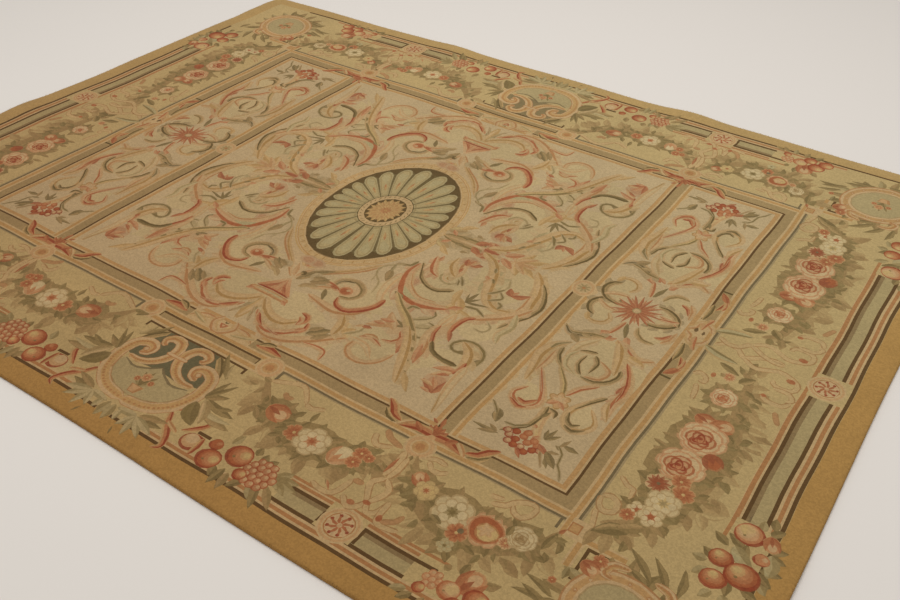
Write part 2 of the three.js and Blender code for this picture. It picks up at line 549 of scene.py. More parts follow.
def axis_finial():
    """The leaves that point outwards from the medallion, on the long middle line."""
    leaf((266, 30), (330, 62), 44, FADED_SET, 6)
    acanthus([(272, 4), (320, 14), (380, 20), (436, 14)], 10, 14, 12, SHADE_SET, -1, 4, 1.2)
    leaf((284, 44), (312, 16), 18, RUST_SET)
    leaf((330, 26), (366, 18), 16, OLIVE_SET)
    leaf((372, 62), (398, 52), 16, SHADE_SET)
    leaf((300, 60), (352, 100), 26, GOLD_SET, 6)
    leaf((396, 8), (444, 44), 30, BRICK_SET, 4)
    leaf((430, 50), (478, 30), 28, RUST_SET, -4)
    leaf((436, 4), (496, 2), 30, BRICK_SET, 4)
    leaf((448, 52), (480, 22), 18, BRICK_SET, 4)
    leaf((466, 10), (520, 46), 24, RUST_SET, -4)
    leaf((500, 44), (524, 66), 16, BRICK_SET)


def round_the_eye():
    """The rust leaf that runs along the medallion, and the hook inside it."""
    acanthus(
        [(302, 196), (303, 262), (336, 335), (396, 380), (466, 374), (524, 350)], 12, 14, 34, RUST_SET,
        -1, 6, 0.7,
    )
    lay(stroke([(330, 330), (366, 362), (414, 370)], 3, 3, 19), SAGE_LIGHT)
    scroll([(316, 262), (344, 312), (384, 346), (420, 356), (470, 346)], 3, 3, 11, PEACH_SET, 1)
    lay(stroke([(296, 290), (330, 356), (372, 386), (420, 392)], 3, 3, 9), RUST)
    scroll(
        [(308, 186), (330, 222), (352, 262), (396, 290), (440, 292), (486, 262)], 6, 15, 3, OLIVE_SET,
        -1,
    )
    vine(
        [(446, 176), (414, 184), (402, 214), (420, 241), (452, 242), (470, 222), (462, 200)], 7,
        OLIVE_LIGHT,
    )
    vine([(446, 182), (420, 192), (411, 214), (426, 233), (448, 233)], 4, PEACH)
    lay(oval((437, 212), 14, 15, 9), GOLD_EDGE)
    lay(oval((437, 212), 9, 10, 8), PEACH_LIGHT)
    scroll([(442, 204), (446, 168), (434, 128), (438, 92)], 9, 12, 12, PEACH_SET, 1)
    for base, tip, width, wools in (
        ((440, 122), (424, 82), 22, BRICK_SET), ((446, 112), (490, 92), 26, BRICK_SET),
        ((444, 116), (454, 74), 18, RUST_SET),
        ((438, 170), (440, 138), 13, BRICK_SET), ((452, 108), (468, 76), 16, PEACH_SET),
    ):
        leaf(base, tip, width, wools)
    vine([(462, 182), (482, 206), (494, 226)], 9, OLIVE)
    vine([(466, 206), (474, 220), (480, 232)], 6, OLIVE)
    acanthus([(394, 92), (400, 142), (424, 176), (446, 196)], 5, 10, 18, GOLD_SET, -1, 3, 0.8)
    acanthus([(326, 126), (344, 176), (366, 212), (398, 230)], 8, 4, 20, RUST_SET, -1, 4, 0.8)
    leaf((348, 150), (344, 112), 18, RUST_SET)
    vine([(290, 190), (280, 226), (238, 240)], 11, OLIVE)
    leaf((276, 232), (232, 246), 12, SHADE_SET)
    vine([(262, 232), (222, 272), (208, 306), (222, 340), (256, 372), (270, 430)], 6, OLIVE_LIGHT)
    leaf((246, 282), (268, 350), 30, SHADE_SET)
    leaf((248, 296), (240, 250), 14, SAGE_SET)
    vine([(222, 342), (228, 376)], 5, OLIVE_LIGHT)
    scroll([(294, 296), (288, 350), (300, 410), (320, 448)], 16, 16, 8, PALE_SET, 1)


print("the medallion reaches", BOSS_OUT, "mm, and the first scrolls start outside it")

# %% [markdown]
# A long chain of acanthus leaves runs from the medallion's side out to the edge of the panel.
# Its first leaves lie under everything that hangs from it, so it's written from the stem
# outwards.

# %% Middle panel, the chain of acanthus leaves
def acanthus_chain():
    """From the medallion to the outer edge of the panel."""
    leaf((554, 220), (604, 96), 70, MIST_SET, -8)
    leaf((524, 60), (566, 110), 36, MIST_SET)
    vine([(602, 104), (620, 140), (612, 176)], 7, OLIVE_LIGHT)
    acanthus(
        [(446, 14), (505, 50), (546, 112), (570, 178), (600, 240), (646, 266), (712, 246)], 20, 12, 16,
        GOLD_SET, 1, 7, 0.6,
    )
    for points, width in (
        ([(528, 74), (542, 100)], 8), ([(552, 132), (570, 152)], 7),
        ([(612, 178), (636, 206), (602, 240)], 8),
        ([(616, 160), (604, 186), (582, 212)], 9), ([(634, 228), (652, 238), (650, 260)], 10),
    ):
        vine(points, width, OLIVE)
    leaf((524, 130), (552, 150), 16, RUST_SET)
    leaf((540, 172), (548, 130), 14, PEACH_SET)
    # Fan of gold leaves on the middle line.
    for tip, width, wools in (
        ((560, 52), 32, RUST_SET), ((600, 74), 40, GOLD_SET), ((646, 34), 34, GOLD_SET),
        ((640, 8), 26, PEACH_SET),
        ((664, 54), 22, GOLD_SET), ((620, 52), 24, PEACH_SET),
    ):
        leaf((562, -4), tip, width, wools, 5)
    leaf((512, 8), (570, 50), 30, RUST_SET)
    acanthus([(650, 12), (690, 66), (714, 124), (722, 172), (734, 214)], 14, 16, 18, GOLD_SET, 1, 5, 0.7)
    scroll(
        [(700, 62), (726, 92), (750, 138), (760, 186), (744, 246), (714, 304), (700, 344)], 4, 5, 15,
        OLIVE_SET, 1,
    )
    scroll([(704, 140), (712, 200), (702, 240)], 4, 4, 14, PEACH_SET, -1)
    acanthus([(742, 200), (704, 264), (644, 322), (606, 352)], 16, 12, 14, PEACH_SET, 1, 5, 0.6)
    scroll([(622, 340), (600, 360), (590, 402), (594, 446), (616, 484)], 10, 5, 12, BRICK_SET, 1)
    leaf((596, 440), (618, 488), 16, BRICK_SET)
    leaf((656, 178), (630, 140), 28, BRICK_SET, -6)
    leaf((652, 178), (702, 142), 26, BRICK_SET, 6)
    leaf((652, 168), (662, 142), 15, RUST_SET)
    for tip, width in (
        ((562, 224), 15), ((584, 248), 12), ((626, 268), 13), ((536, 240), 8), ((600, 282), 9),
    ):
        leaf((548, 292), tip, width, DARK_SET)
    for base, tip, width, bend in (
        ((560, 304), (508, 352), 44, 5), ((516, 280), (562, 360), 38, -5),
        ((506, 240), (522, 330), 26, 5),
        ((556, 338), (604, 346), 18, 0), ((520, 350), (560, 320), 22, 0),
    ):
        leaf(base, tip, width, RUST_SET if width == 22 else GOLD_SET, bend)
    vine([(560, 310), (598, 299), (638, 320)], 10, OLIVE)
    vine([(656, 330), (684, 354), (674, 386), (640, 384)], 6, OLIVE_LIGHT)
    scroll([(716, 250), (734, 316), (722, 370), (738, 410)], 12, 6, 14, MIST_SET, 1)
    scroll([(560, 356), (566, 400), (556, 440)], 5, 8, 10, PALE_SET, 1)


in_quarters(washes)
in_quarters(basket)
in_quarters(axis_finial)
in_quarters(round_the_eye)
in_quarters(acanthus_chain)
print("patches after the inner scrolls:", len(patches))

# %% [markdown]
# The outer half of the panel holds a long stem on the diagonal, three spirals and the
# S-shaped leaf that carries them.

# %% Middle panel, outer scrolls
def outer_scrolls():
    """The red-eyed spiral, and the S-shaped leaf under the basket."""
    acanthus(
        [(106, 548), (168, 560), (232, 570), (292, 546), (324, 496)], 8, 6, 20, PEACH_SET, -1, 5, 0.7,
    )
    scroll(
        [(198, 508), (218, 540), (262, 549), (304, 514), (327, 470), (328, 428)], 6, 15, 12, BRICK_SET,
        -1,
    )
    lay(oval((200, 464), 36, 32, 16), PEACH_LIGHT)
    lay(oval((200, 466), 31, 27, 14), ROSE_PALE)
    lay(oval((198, 468), 25, 22, 12), ROSE)
    lay(oval((196, 470), 18, 15, 12), RUST)
    lay(oval((204, 462), 8, 7, 8), PEACH_LIGHT)
    scroll(
        [(142, 462), (156, 428), (198, 410), (238, 430), (250, 464), (232, 494), (196, 502)], 18, 8, 4,
        SHADE_SET, -1,
    )
    vine([(146, 452), (160, 428), (198, 416)], 5, OLIVE_DARK)
    scroll([(92, 462), (136, 466), (180, 480)], 5, 14, 10, RUST_SET, 1)
    leaf((136, 472), (168, 478), 14, BRICK_SET)
    scroll([(84, 520), (120, 496), (150, 482)], 4, 7, 9, PEACH_SET, 1)
    leaf((136, 496), (166, 548), 20, DARK_SET)
    for base, tip, width, wools in (
        ((64, 496), (126, 458), 30, SHADE_SET), ((70, 484), (92, 446), 17, FADED_SET),
        ((50, 520), (108, 500), 24, FADED_SET),
        ((60, 470), (110, 452), 18, SHADE_SET), ((96, 474), (116, 446), 12, OLIVE_SET),
        ((46, 536), (80, 512), 18, FADED_SET),
    ):
        leaf(base, tip, width, wools)
    # The S-shaped leaf.
    acanthus([(8, 640), (44, 682), (94, 708), (142, 704), (182, 668)], 14, 10, 18, GOLD_SET, -1, 5, 0.7)
    acanthus(
        [(44, 716), (110, 778), (190, 772), (266, 728), (312, 684), (352, 650)], 8, 16, 18, PEACH_SET,
        -1, 7, 0.5,
    )
    scroll([(28, 702), (60, 738), (112, 762), (166, 748), (206, 712), (222, 690)], 6, 9, 15, RUST_SET, -1)
    scroll([(44, 712), (64, 738), (92, 756)], 6, 6, 11, BRICK_SET, 1)
    scroll([(160, 634), (188, 640), (197, 662), (180, 692)], 8, 8, 10, BRICK_SET, -1)
    scroll([(166, 652), (182, 666), (180, 690)], 4, 4, 9, RUST_SET, -1)
    scroll([(212, 664), (220, 696), (206, 728)], 6, 6, 10, BRICK_SET, -1)
    leaf((196, 716), (224, 690), 20, RUST_SET)
    scroll([(250, 748), (300, 741), (338, 746), (351, 788)], 3, 5, 10, RUST_SET, 1)
    leaf((236, 708), (300, 648), 34, OLIVE_SET)
    leaf((232, 690), (270, 652), 20, SHADE_SET)
    leaf((262, 722), (308, 668), 26, SHADE_SET)
    acanthus([(276, 566), (300, 612), (306, 668)], 6, 12, 16, GOLD_SET, 1, 4, 0.8)
    leaf((352, 654), (312, 586), 34, (PEACH, STRAW, FIELD_WASH))
    leaf((322, 640), (352, 600), 26, GOLD_SET)
    vine([(366, 578), (364, 604), (332, 642)], 7, OLIVE_LIGHT)
    leaf((352, 576), (388, 566), 18, BRICK_SET)
    leaf((340, 590), (360, 566), 14, PEACH_SET)
    vine([(112, 752), (150, 764), (168, 762)], 4, RUST)
    vine([(10, 700), (26, 730), (34, 762)], 5, LEAF_BROWN)


def diagonal_stem():
    """The long stem, the flame leaf and the spiral in the corner of the panel."""
    leaf((456, 470), (512, 410), 44, (OLIVE_LIGHT, FIELD_WASH, FIELD_WASH), 8)
    leaf((486, 488), (536, 450), 38, (OLIVE_LIGHT, FIELD_WASH, FIELD_WASH), 8)
    for points, width in (
        ([(456, 462), (496, 434), (510, 404), (496, 388)], 6),
        ([(490, 488), (528, 468), (532, 448), (510, 444)], 6),
        ([(506, 516), (526, 524), (542, 514)], 9), ([(414, 428), (420, 404), (448, 402)], 10),
    ):
        vine(points, width, OLIVE)
    leaf((370, 388), (324, 374), 20, DARK_SET)
    for tip, width in (((410, 446), 12), ((420, 486), 12), ((434, 516), 12), ((436, 470), 10)):
        leaf((462, 502), tip, width, DARK_SET)
    for base, tip, width, bend in (
        ((440, 506), (356, 562), 38, 5), ((446, 534), (384, 462), 34, -5),
        ((424, 498), (376, 512), 20, 0),
        ((404, 524), (366, 534), 18, 0), ((470, 492), (500, 556), 24, 4),
    ):
        leaf(base, tip, width, RUST_SET if width < 21 else PEACH_SET, bend)
    scroll([(466, 526), (486, 558), (472, 586), (440, 594)], 8, 5, 9, RUST_SET, -1)
    leaf((492, 526), (514, 624), 28, RUST_SET, 4)
    leaf((506, 580), (514, 626), 14, BRICK_SET)
    scroll(
        [(334, 372), (386, 420), (440, 458), (488, 506), (528, 562), (552, 624), (588, 690), (642, 744)],
        10, 6, 22, (OLIVE, LEAF_TAN, STRAW), 1,
    )
    acanthus([(470, 490), (508, 548), (540, 618), (566, 682), (590, 732)], 8, 8, 18, GOLD_SET, 1, 6, 0.5)
    leaf((586, 680), (640, 746), 22, GOLD_SET)
    scroll(
        [(384, 640), (380, 684), (410, 716), (458, 716), (496, 682), (512, 632)], 11, 8, 8, PEACH_SET,
        -1,
    )
    scroll([(378, 622), (414, 605), (460, 624)], 5, 5, 12, RUST_SET, 1)
    scroll([(384, 606), (410, 594), (436, 600)], 3, 3, 8, PEACH_SET, 1)
    scroll([(360, 640), (420, 644), (466, 690)], 12, 4, 10, PALE_SET, 1)
    # The flame leaf is rust at its root and nearly black at its tip.
    scroll([(556, 356), (548, 400), (546, 440)], 6, 10, 8, PALE_SET, 1)
    acanthus([(544, 436), (550, 500), (570, 560), (580, 632)], 10, 5, 22, PEACH_SET, 1, 5, 0.5)
    leaf((556, 540), (582, 636), 22, RUST_SET, 3)
    scroll([(553, 432), (556, 478), (580, 528)], 6, 15, 3, BRICK_SET, 1)
    scroll(
        [(574, 512), (598, 550), (640, 567), (698, 567)], 12, 18, 2, (OLIVE_DARK, OLIVE_DARK, OLIVE), 1,
    )
    # The corner spiral has a peach leaf and a red flower.
    vine(
        [(738, 548), (748, 500), (730, 462), (690, 444), (650, 456), (632, 490), (650, 512), (694, 508)],
        11, OLIVE,
    )
    vine([(734, 540), (740, 500), (724, 468), (690, 452), (656, 462), (641, 490)], 4, LEAF_TAN)
    leaf((730, 560), (742, 500), 24, OLIVE_SET)
    leaf((664, 506), (698, 496), 16, DARK_SET)
    acanthus([(656, 458), (694, 486), (714, 530), (716, 590)], 6, 14, 18, GOLD_SET, 1, 4, 0.5)
    scroll([(716, 538), (716, 574), (700, 606)], 10, 9, 5, BRICK_SET, 1)
    for base, tip, width, wools in (
        ((712, 584), (640, 616), 22, RUST_SET), ((706, 600), (652, 646), 24, PEACH_SET),
        ((704, 614), (668, 634), 14, BRICK_SET),
        ((704, 704), (646, 668), 28, BRICK_SET), ((704, 706), (712, 638), 22, BRICK_SET),
        ((700, 690), (668, 646), 20, RUST_SET),
        ((698, 708), (660, 704), 14, RUST_SET), ((690, 680), (640, 676), 16, PEACH_SET),
    ):
        leaf(base, tip, width, wools, 4)
    scroll([(724, 556), (726, 640), (738, 700), (752, 772)], 18, 4, 12, PALE_SET, -1)
    vine([(728, 690), (742, 732), (750, 768)], 5, GOLD_EDGE)


in_quarters(outer_scrolls)
in_quarters(diagonal_stem)
print("patches after the middle panel:", len(patches))

# %% [markdown]
# ## Side panels
# Each side panel hangs two lyres of scrolls from a star in its middle. The panel is mirrored
# across the carpet's long middle line, but its own left and right differ a little, as they do
# on the loom.

# %% Side panel, round the star
STAR = (1018, -8)


def round_the_star():
    """Washes of pale beige, and the C scrolls on both sides of the star."""
    for place, across, along in (
        ((920, 60), 40, 70), ((1110, 76), 44, 66), ((1022, 320), 90, 90), ((930, 550), 44, 56),
        ((1106, 550), 44, 60),
        ((1016, 240), 40, 50), ((900, 400), 26, 90), ((1160, 330), 24, 90),
    ):
        lay(flowing(oval(place, across, along, 10), 2, True), FIELD_WASH)
    acanthus([(966, -10), (906, 2), (876, 42), (886, 82), (912, 100)], 10, 10, 10, OLIVE_SET, -1, 4, 0.5)
    acanthus([(1160, -12), (1142, 24), (1104, 48), (1064, 52)], 7, 6, 14, OLIVE_SET, 1, 4, 0.5)
    scroll([(888, 16), (926, 40), (970, 46)], 5, 6, 8, PEACH_SET, 1)
    scroll([(1154, 12), (1130, -2), (1088, -8)], 5, 6, 8, RUST_SET, 1)
    scroll([(890, 118), (926, 134), (958, 122), (968, 92), (950, 66)], 6, 5, 9, GOLD_SET, 1)
    leaf((892, 100), (906, 140), 20, GOLD_SET)
    scroll([(1134, 136), (1098, 138), (1072, 116), (1062, 84)], 7, 5, 9, SHADE_SET, -1)
    scroll([(1120, 104), (1146, 92), (1160, 60)], 5, 5, 9, BRICK_SET, 1)
    scroll([(1146, 120), (1166, 90), (1170, 40)], 5, 4, 8, PEACH_SET, 1)
    leaf((1026, 84), (1048, 160), 18, DARK_SET)
    scroll([(1018, 80), (1010, 120), (996, 164)], 6, 8, 5, RUST_SET, 1)


def head_of_the_lyre():
    """Red leaves over the shoulders of the lyre, and the circle between its arms."""
    for base, tip, width, wools in (
        ((962, 178), (996, 150), 26, RUST_SET), ((970, 196), (1014, 170), 24, BRICK_SET),
        ((1052, 150), (1076, 190), 26, RUST_SET),
        ((1000, 196), (1030, 170), 18, RUST_SET), ((1034, 176), (1062, 210), 20, GOLD_SET),
    ):
        leaf(base, tip, width, wools, 3)
    acanthus(
        [(862, 196), (890, 226), (926, 220), (962, 198), (1000, 188)], 6, 8, 20, SHADE_SET, 1, 5, 0.7,
    )
    vine([(866, 204), (892, 228), (926, 222), (960, 202)], 8, OLIVE_DARK)
    leaf((900, 226), (938, 262), 30, SHADE_SET)
    leaf((926, 212), (962, 214), 20, FADED_SET)
    acanthus(
        [(1036, 180), (1074, 200), (1100, 226), (1132, 232), (1170, 210)], 12, 8, 18, PEACH_SET, -1, 5,
        0.7,
    )
    vine([(1064, 190), (1096, 220), (1120, 232)], 8, RUST)
    leaf((1086, 232), (1156, 250), 32, GOLD_SET)
    leaf((1074, 214), (1084, 236), 10, OLIVE_SET)
    acanthus(
        [(990, 206), (952, 262), (938, 336)], 12, 8, 12, (LEAF_TAN, PEACH_LIGHT, FIELD_WASH), 1, 4, 0.6,
    )
    acanthus([(1048, 188), (1078, 254), (1102, 336)], 14, 8, 14, GOLD_SET, 1, 5, 0.5)
    for points, start, end, belly in (
        ([(962, 292), (984, 280), (1016, 272)], 5, 11, 4),
        ([(1016, 286), (1038, 318), (1034, 368)], 12, 5, 3),
        ([(992, 298), (986, 340), (1000, 372), (1016, 386)], 5, 12, 3),
        ([(1020, 394), (1064, 394), (1102, 370), (1118, 334), (1112, 306)], 6, 12, 6),
        ([(912, 304), (918, 346), (946, 380), (990, 394)], 12, 6, 5),
    ):
        scroll(points, start, end, belly, OLIVE_SET, 1)
    scroll([(960, 296), (944, 330), (958, 376), (1000, 396)], 7, 5, 8, MIST_SET, 1)
    scroll([(1040, 300), (1084, 330), (1074, 372), (1030, 386)], 5, 7, 6, PEACH_SET, 1)


print("the star lies", STAR, "mm from the middle")

# %% [markdown]
# The arms of the lyre bend outwards and cross below, where a peach flower sits. Its foot ends
# in two hooks. These are functions only: they are drawn with the rest of the panel below.

# %% Side panel, arms and foot of the lyre
def arms_of_the_lyre():
    """The outer arms, the crossing stems, and the peach flower at the waist."""
    acanthus([(922, 268), (884, 312), (870, 370), (882, 430), (890, 500)], 8, 6, 22, GOLD_SET, 1, 6, 0.6)
    vine([(918, 270), (890, 300), (880, 330)], 7, OLIVE)
    scroll([(900, 330), (904, 390), (896, 450)], 4, 4, 14, PEACH_SET, -1)
    acanthus(
        [(1110, 264), (1146, 322), (1162, 386), (1154, 448), (1166, 516)], 8, 5, 20, RUST_SET, -1, 6,
        0.5,
    )
    scroll([(1110, 264), (1144, 318), (1161, 380), (1156, 432)], 9, 6, 6, BRICK_SET, -1)
    leaf((1142, 402), (1150, 352), 12, BRICK_SET)
    scroll([(1140, 440), (1148, 480), (1170, 520)], 5, 4, 12, GOLD_SET, 1)
    scroll([(944, 384), (994, 446), (1012, 490)], 5, 11, 8, (OLIVE, LEAF_TAN, STRAW), 1)
    scroll([(1090, 400), (1046, 440), (1022, 488)], 5, 10, 8, RUST_SET, 1)
    petal_ring((1016, 518), 4, 38, 6, 26, GOLD_EDGE, 0.3)
    petal_ring((1016, 518), 4, 33, 6, 21, PEACH, 0.3)
    petal_ring((1017, 515), 2, 22, 6, 12, PEACH_LIGHT)
    leaf((1016, 520), (1048, 546), 18, RUST_SET)
    leaf((1016, 520), (988, 548), 16, RUST_SET)


def foot_of_the_lyre():
    """Two hooks, one rust and one gold."""
    scroll(
        [(904, 426), (940, 486), (968, 534), (970, 572), (940, 598), (904, 588), (890, 556), (914, 518)],
        7, 6, 14, RUST_SET, -1,
    )
    vine([(906, 430), (938, 482), (960, 518)], 5, RUST)
    scroll([(912, 574), (940, 582), (964, 552)], 6, 7, 9, BRICK_SET, 1)
    scroll([(894, 586), (930, 606), (954, 596)], 4, 4, 11, BRICK_SET, 1)
    scroll(
        [
            (1128, 430), (1086, 490), (1064, 534), (1070, 576), (1100, 600), (1136, 584), (1148, 546),
            (1112, 496),
        ],
        8, 6, 14, GOLD_SET, 1,
    )
    scroll([(1130, 430), (1096, 474), (1070, 520)], 12, 5, 3, OLIVE_SET, 1)
    scroll([(1064, 540), (1074, 572), (1096, 586), (1116, 570)], 6, 6, 7, OLIVE_SET, 1)
    scroll([(1076, 592), (1106, 606), (1138, 582)], 4, 4, 9, OLIVE_SET, 1)


print("patches before the side panels:", len(patches))

# %% [markdown]
# A bunch of cherries hangs at each end of the panel. The star is laid last and only twice,
# because it lies on the long middle line, where the upper and the lower half meet.

# %% Side panel, cherries and the star
BERRY_WOOLS = ((BRICK, RUST), (RUST, ROSE), (BRICK, ROSE_PALE))


def cherries():
    """The stem with its bunch of cherries, and loose leaves."""
    scroll([(1012, 552), (1016, 610), (1030, 660), (1060, 710)], 30, 8, 6, (PEACH, PEACH_LIGHT, STRAW), 1)
    scroll([(1004, 556), (1008, 590), (1000, 650), (968, 690), (942, 716)], 10, 4, 6, OLIVE_SET, 1)
    scroll([(1008, 560), (1034, 566), (1040, 590)], 4, 4, 6, OLIVE_SET, 1)
    leaf((1008, 608), (1022, 572), 13, DARK_SET)
    vine([(936, 680), (970, 676), (1000, 650)], 7, OLIVE)
    for base, tip in (((1000, 690), (1020, 664)), ((1030, 700), (1044, 672)), ((1010, 640), (1022, 652))):
        leaf(base, tip, 14, RUST_SET)
    for k, (x, y) in enumerate((
        (984, 694), (1010, 700), (972, 716), (996, 722), (1028, 716), (1020, 740), (1000, 744),
        (1056, 712), (1070, 724),
        (1036, 752), (1042, 700), (980, 738), (1052, 734), (1014, 682), (960, 702),
    )):
        rim, face = BERRY_WOOLS[k % 3]
        lay(oval((x, y), 13, 13, 9), rim)
        lay(oval((x + 1, y - 1), 10, 10, 8), between(rim, face, 0.6))
        lay(oval((x + 2, y - 3), 6, 6, 7), face)
    leaf((1056, 700), (1092, 728), 20, BRICK_SET)
    leaf((1010, 748), (1040, 780), 14, BRICK_SET)
    for base, tip, width, wools in (
        ((898, 642), (918, 696), 32, OLIVE_SET), ((946, 730), (862, 728), 15, OLIVE_SET),
        ((944, 728), (888, 746), 16, SHADE_SET),
        ((940, 724), (908, 710), 14, SHADE_SET), ((1060, 676), (1052, 634), 14, OLIVE_SET),
        ((1062, 676), (1074, 620), 14, OLIVE_SET),
        ((1062, 678), (1096, 638), 15, OLIVE_SET), ((1116, 668), (1166, 672), 20, OLIVE_SET),
        ((1108, 680), (1126, 636), 14, SHADE_SET),
        ((1086, 714), (1134, 760), 26, OLIVE_SET), ((1088, 712), (1122, 704), 15, SHADE_SET),
        ((1094, 740), (1116, 770), 14, OLIVE_SET),
        ((1120, 690), (1096, 678), 12, OLIVE_SET),
    ):
        leaf(base, tip, width, wools)
    vine([(862, 622), (890, 646), (900, 664)], 6, OLIVE)
    vine([(1106, 676), (1128, 700), (1134, 740), (1152, 762), (1166, 790)], 6, OLIVE)
    vine([(1072, 722), (1086, 748), (1102, 776)], 7, LEAF_BROWN)


def side_panel():
    """One quarter of it, from the star outwards."""
    round_the_star()
    head_of_the_lyre()
    arms_of_the_lyre()
    foot_of_the_lyre()
    cherries()


def star():
    """Long red rays with shorter ones between them."""
    rays(STAR, 6, 84, 18, 12, BRICK_SET)
    rays(STAR, 6, 70, 9, 12, RUST_SET, math.pi / 18)
    rays(STAR, 6, 54, 9, 14, BRICK_SET, math.pi / 9)
    rays(STAR, 6, 44, 9, 12, BRICK_SET)
    lay(oval(STAR, 15, 15, 12), OLIVE_LIGHT)
    lay(oval(STAR, 11, 11, 10), PEACH_LIGHT)


in_quarters(side_panel)
on_both_sides(star)
print("patches after the side panels:", len(patches))

# %% [markdown]
# ## Mouldings and roundels of the outer border
# Along each side runs a straight moulding of dark, pale green and cream bars with a capped
# end, broken in the middle by a roundel. The same list of bars serves long and short sides.

# %% Mouldings
ground[0] = BORDER_CREAM
# Distances from the outer edge of the moulding, inwards: where a bar starts and ends.
MOULDING = [
    (0, 11, LINE_DARK), (11, 18, CREAM), (18, 29, PEACH_EDGE), (29, 37, CREAM), (37, 48, LINE_DARK),
    (48, 82, BAND_SAGE),
    (82, 94, BAND_BROWN), (94, 105, LINE_DARK), (105, 111, CREAM), (111, 121, PEACH_EDGE),
    (121, 126, CREAM),
]
LONG_OUT = 1301
SHORT_OUT = 1702
WHIRL = 8  # arms of the small flower in a roundel


def long_moulding():
    """Along a long side, with single lines in front of it and behind it."""
    for start, end, wool in MOULDING:
        block(600, 1012, LONG_OUT - end, LONG_OUT - start, wool)
    block(588, 1090, 1166, 1175, PEACH_EDGE)
    block(640, 1076, 1196, 1207, LINE_DARK)
    block(575, 1016, 1253, 1264, LINE_DARK)
    block(150, 1300, 1265, 1272, CREAM)
    block(150, 1300, 1272, 1283, PEACH_EDGE)
    block(150, 1300, 1283, 1290, CREAM)
    block(30, 1500, 1290, 1301, LINE_DARK)
    block(285, 326, 1192, 1203, LINE_DARK)


def short_moulding():
    """Along a short side."""
    # The roundel sits a little nearer than the middle, so the far bar starts earlier.
    first = 32 if mirror[1] > 0 else 80
    for start, end, wool in MOULDING:
        block(SHORT_OUT - end, SHORT_OUT - start, first, 632, wool)
    block(SHORT_OUT - 11, SHORT_OUT, 0, 930, LINE_DARK)
    block(1578, 1588, 0, 720, PEACH_EDGE)


def end_roundel():
    """The roundel in the middle of a short side, on its own ground."""
    block(1590, 1664, -78, 30, BORDER_CREAM)
    roundel((1628, -24), 54)


def roundel(centre, radius):
    """Rings round a small whirling flower."""
    for share, wool in ((1, CREAM), (0.9, PEACH), (0.78, CREAM), (0.7, PEACH_EDGE), (0.64, PEACH_LIGHT)):
        ring(centre, radius * share, radius * share, wool, 28)
    for k in range(WHIRL):
        way = towards(2 * math.pi * k / WHIRL)
        side = sideways(way)
        knob = np.array(centre) + way * radius * 0.5 + side * radius * 0.12
        lay(oval(knob, radius * 0.1, radius * 0.1, 7), BRICK)
        path = [np.array(centre) + way * radius * 0.1, np.array(centre) + way * radius * 0.32, knob]
        lay(stroke(path, radius * 0.16, radius * 0.1), RUST)
    lay(oval(centre, radius * 0.14, radius * 0.14, 8), PEACH_LIGHT)


in_quarters(long_moulding)
in_quarters(short_moulding)
for sign_x, sign_y in ((1, 1), (1, -1), (-1, 1), (-1, -1)):
    mirror[:] = sign_x, sign_y
    block(738, 850, 1176, 1262, BORDER_CREAM)
    block(736, 742, 1212, 1250, LINE_DARK)
    block(850, 860, 1206, 1252, LINE_DARK)
    roundel((795, 1228), 57)
on_both_sides(end_roundel)
print("patches after the roundels:", len(patches))

# %% [markdown]
# The inner frame makes a step outwards behind each cartouche, a ring covers each end of that
# step, and the bands cross at the corners. Straight bars are enough for all of this.

# %% Rings, corner blocks and the break behind the cartouche
def ring_boss(centre, radius):
    """The peach ring where the inner frame steps outwards."""
    for share, sides, wool in (
        (1, 20, CREAM), (0.86, 20, PEACH), (0.62, 16, CREAM), (0.5, 14, LINE_PEACH),
        (0.3, 10, PEACH_EDGE),
    ):
        lay(oval(centre, radius * share, radius * share, sides), wool)


def break_front():
    """The frame steps outwards behind the cartouche."""
    block(0, 250, 874, 1000, BORDER_CREAM)
    block(0, 208, 876, 904, LINE_DARK)
    block(0, 204, 884, 904, BAND_OLIVE)
    block(0, 262, 904, 911, CREAM)
    block(0, 262, 911, 925, LINE_GOLD)
    block(0, 262, 925, 933, CREAM)
    block(0, 208, 934, 942, LINE_DARK)
    block(199, 208, 934, 960, LINE_DARK)
    block(300, 310, 884, 922, BLUE_DARK)
    ring_boss((256, 892), 46)


def corner_block():
    """Bands that cross where the border turns the corner."""
    block(1290, 1430, 905, 911, CREAM)
    block(1290, 1430, 911, 925, LINE_GOLD)
    block(1290, 1430, 925, 931, CREAM)
    block(1296, 1302, 886, 1010, CREAM)
    block(1302, 1316, 886, 1010, LINE_GOLD)
    block(1316, 1322, 886, 1010, CREAM)
    block(1332, 1400, 932, 942, LINE_DARK)
    block(1332, 1342, 932, 1040, LINE_DARK)
    block(1244, 1318, 868, 930, CREAM)
    block(1248, 1260, 860, 940, LINE_GOLD)
    block(1262, 1294, 882, 914, PEACH_EDGE)
    block(1266, 1290, 886, 910, LINE_PEACH)
    block(1231, 1239, 884, 922, BLUE_DARK)


in_quarters(break_front)
in_quarters(corner_block)
in_quarters(lambda: ring_boss((800, 894), 47))
print("patches after the border's frame:", len(patches))

# %% [markdown]
# ## Mounts on the inner frame
# Where bands meet, the frame carries carved-looking mounts: red leaves over the joints of the
# panels, and a pair of small volutes on each middle line.

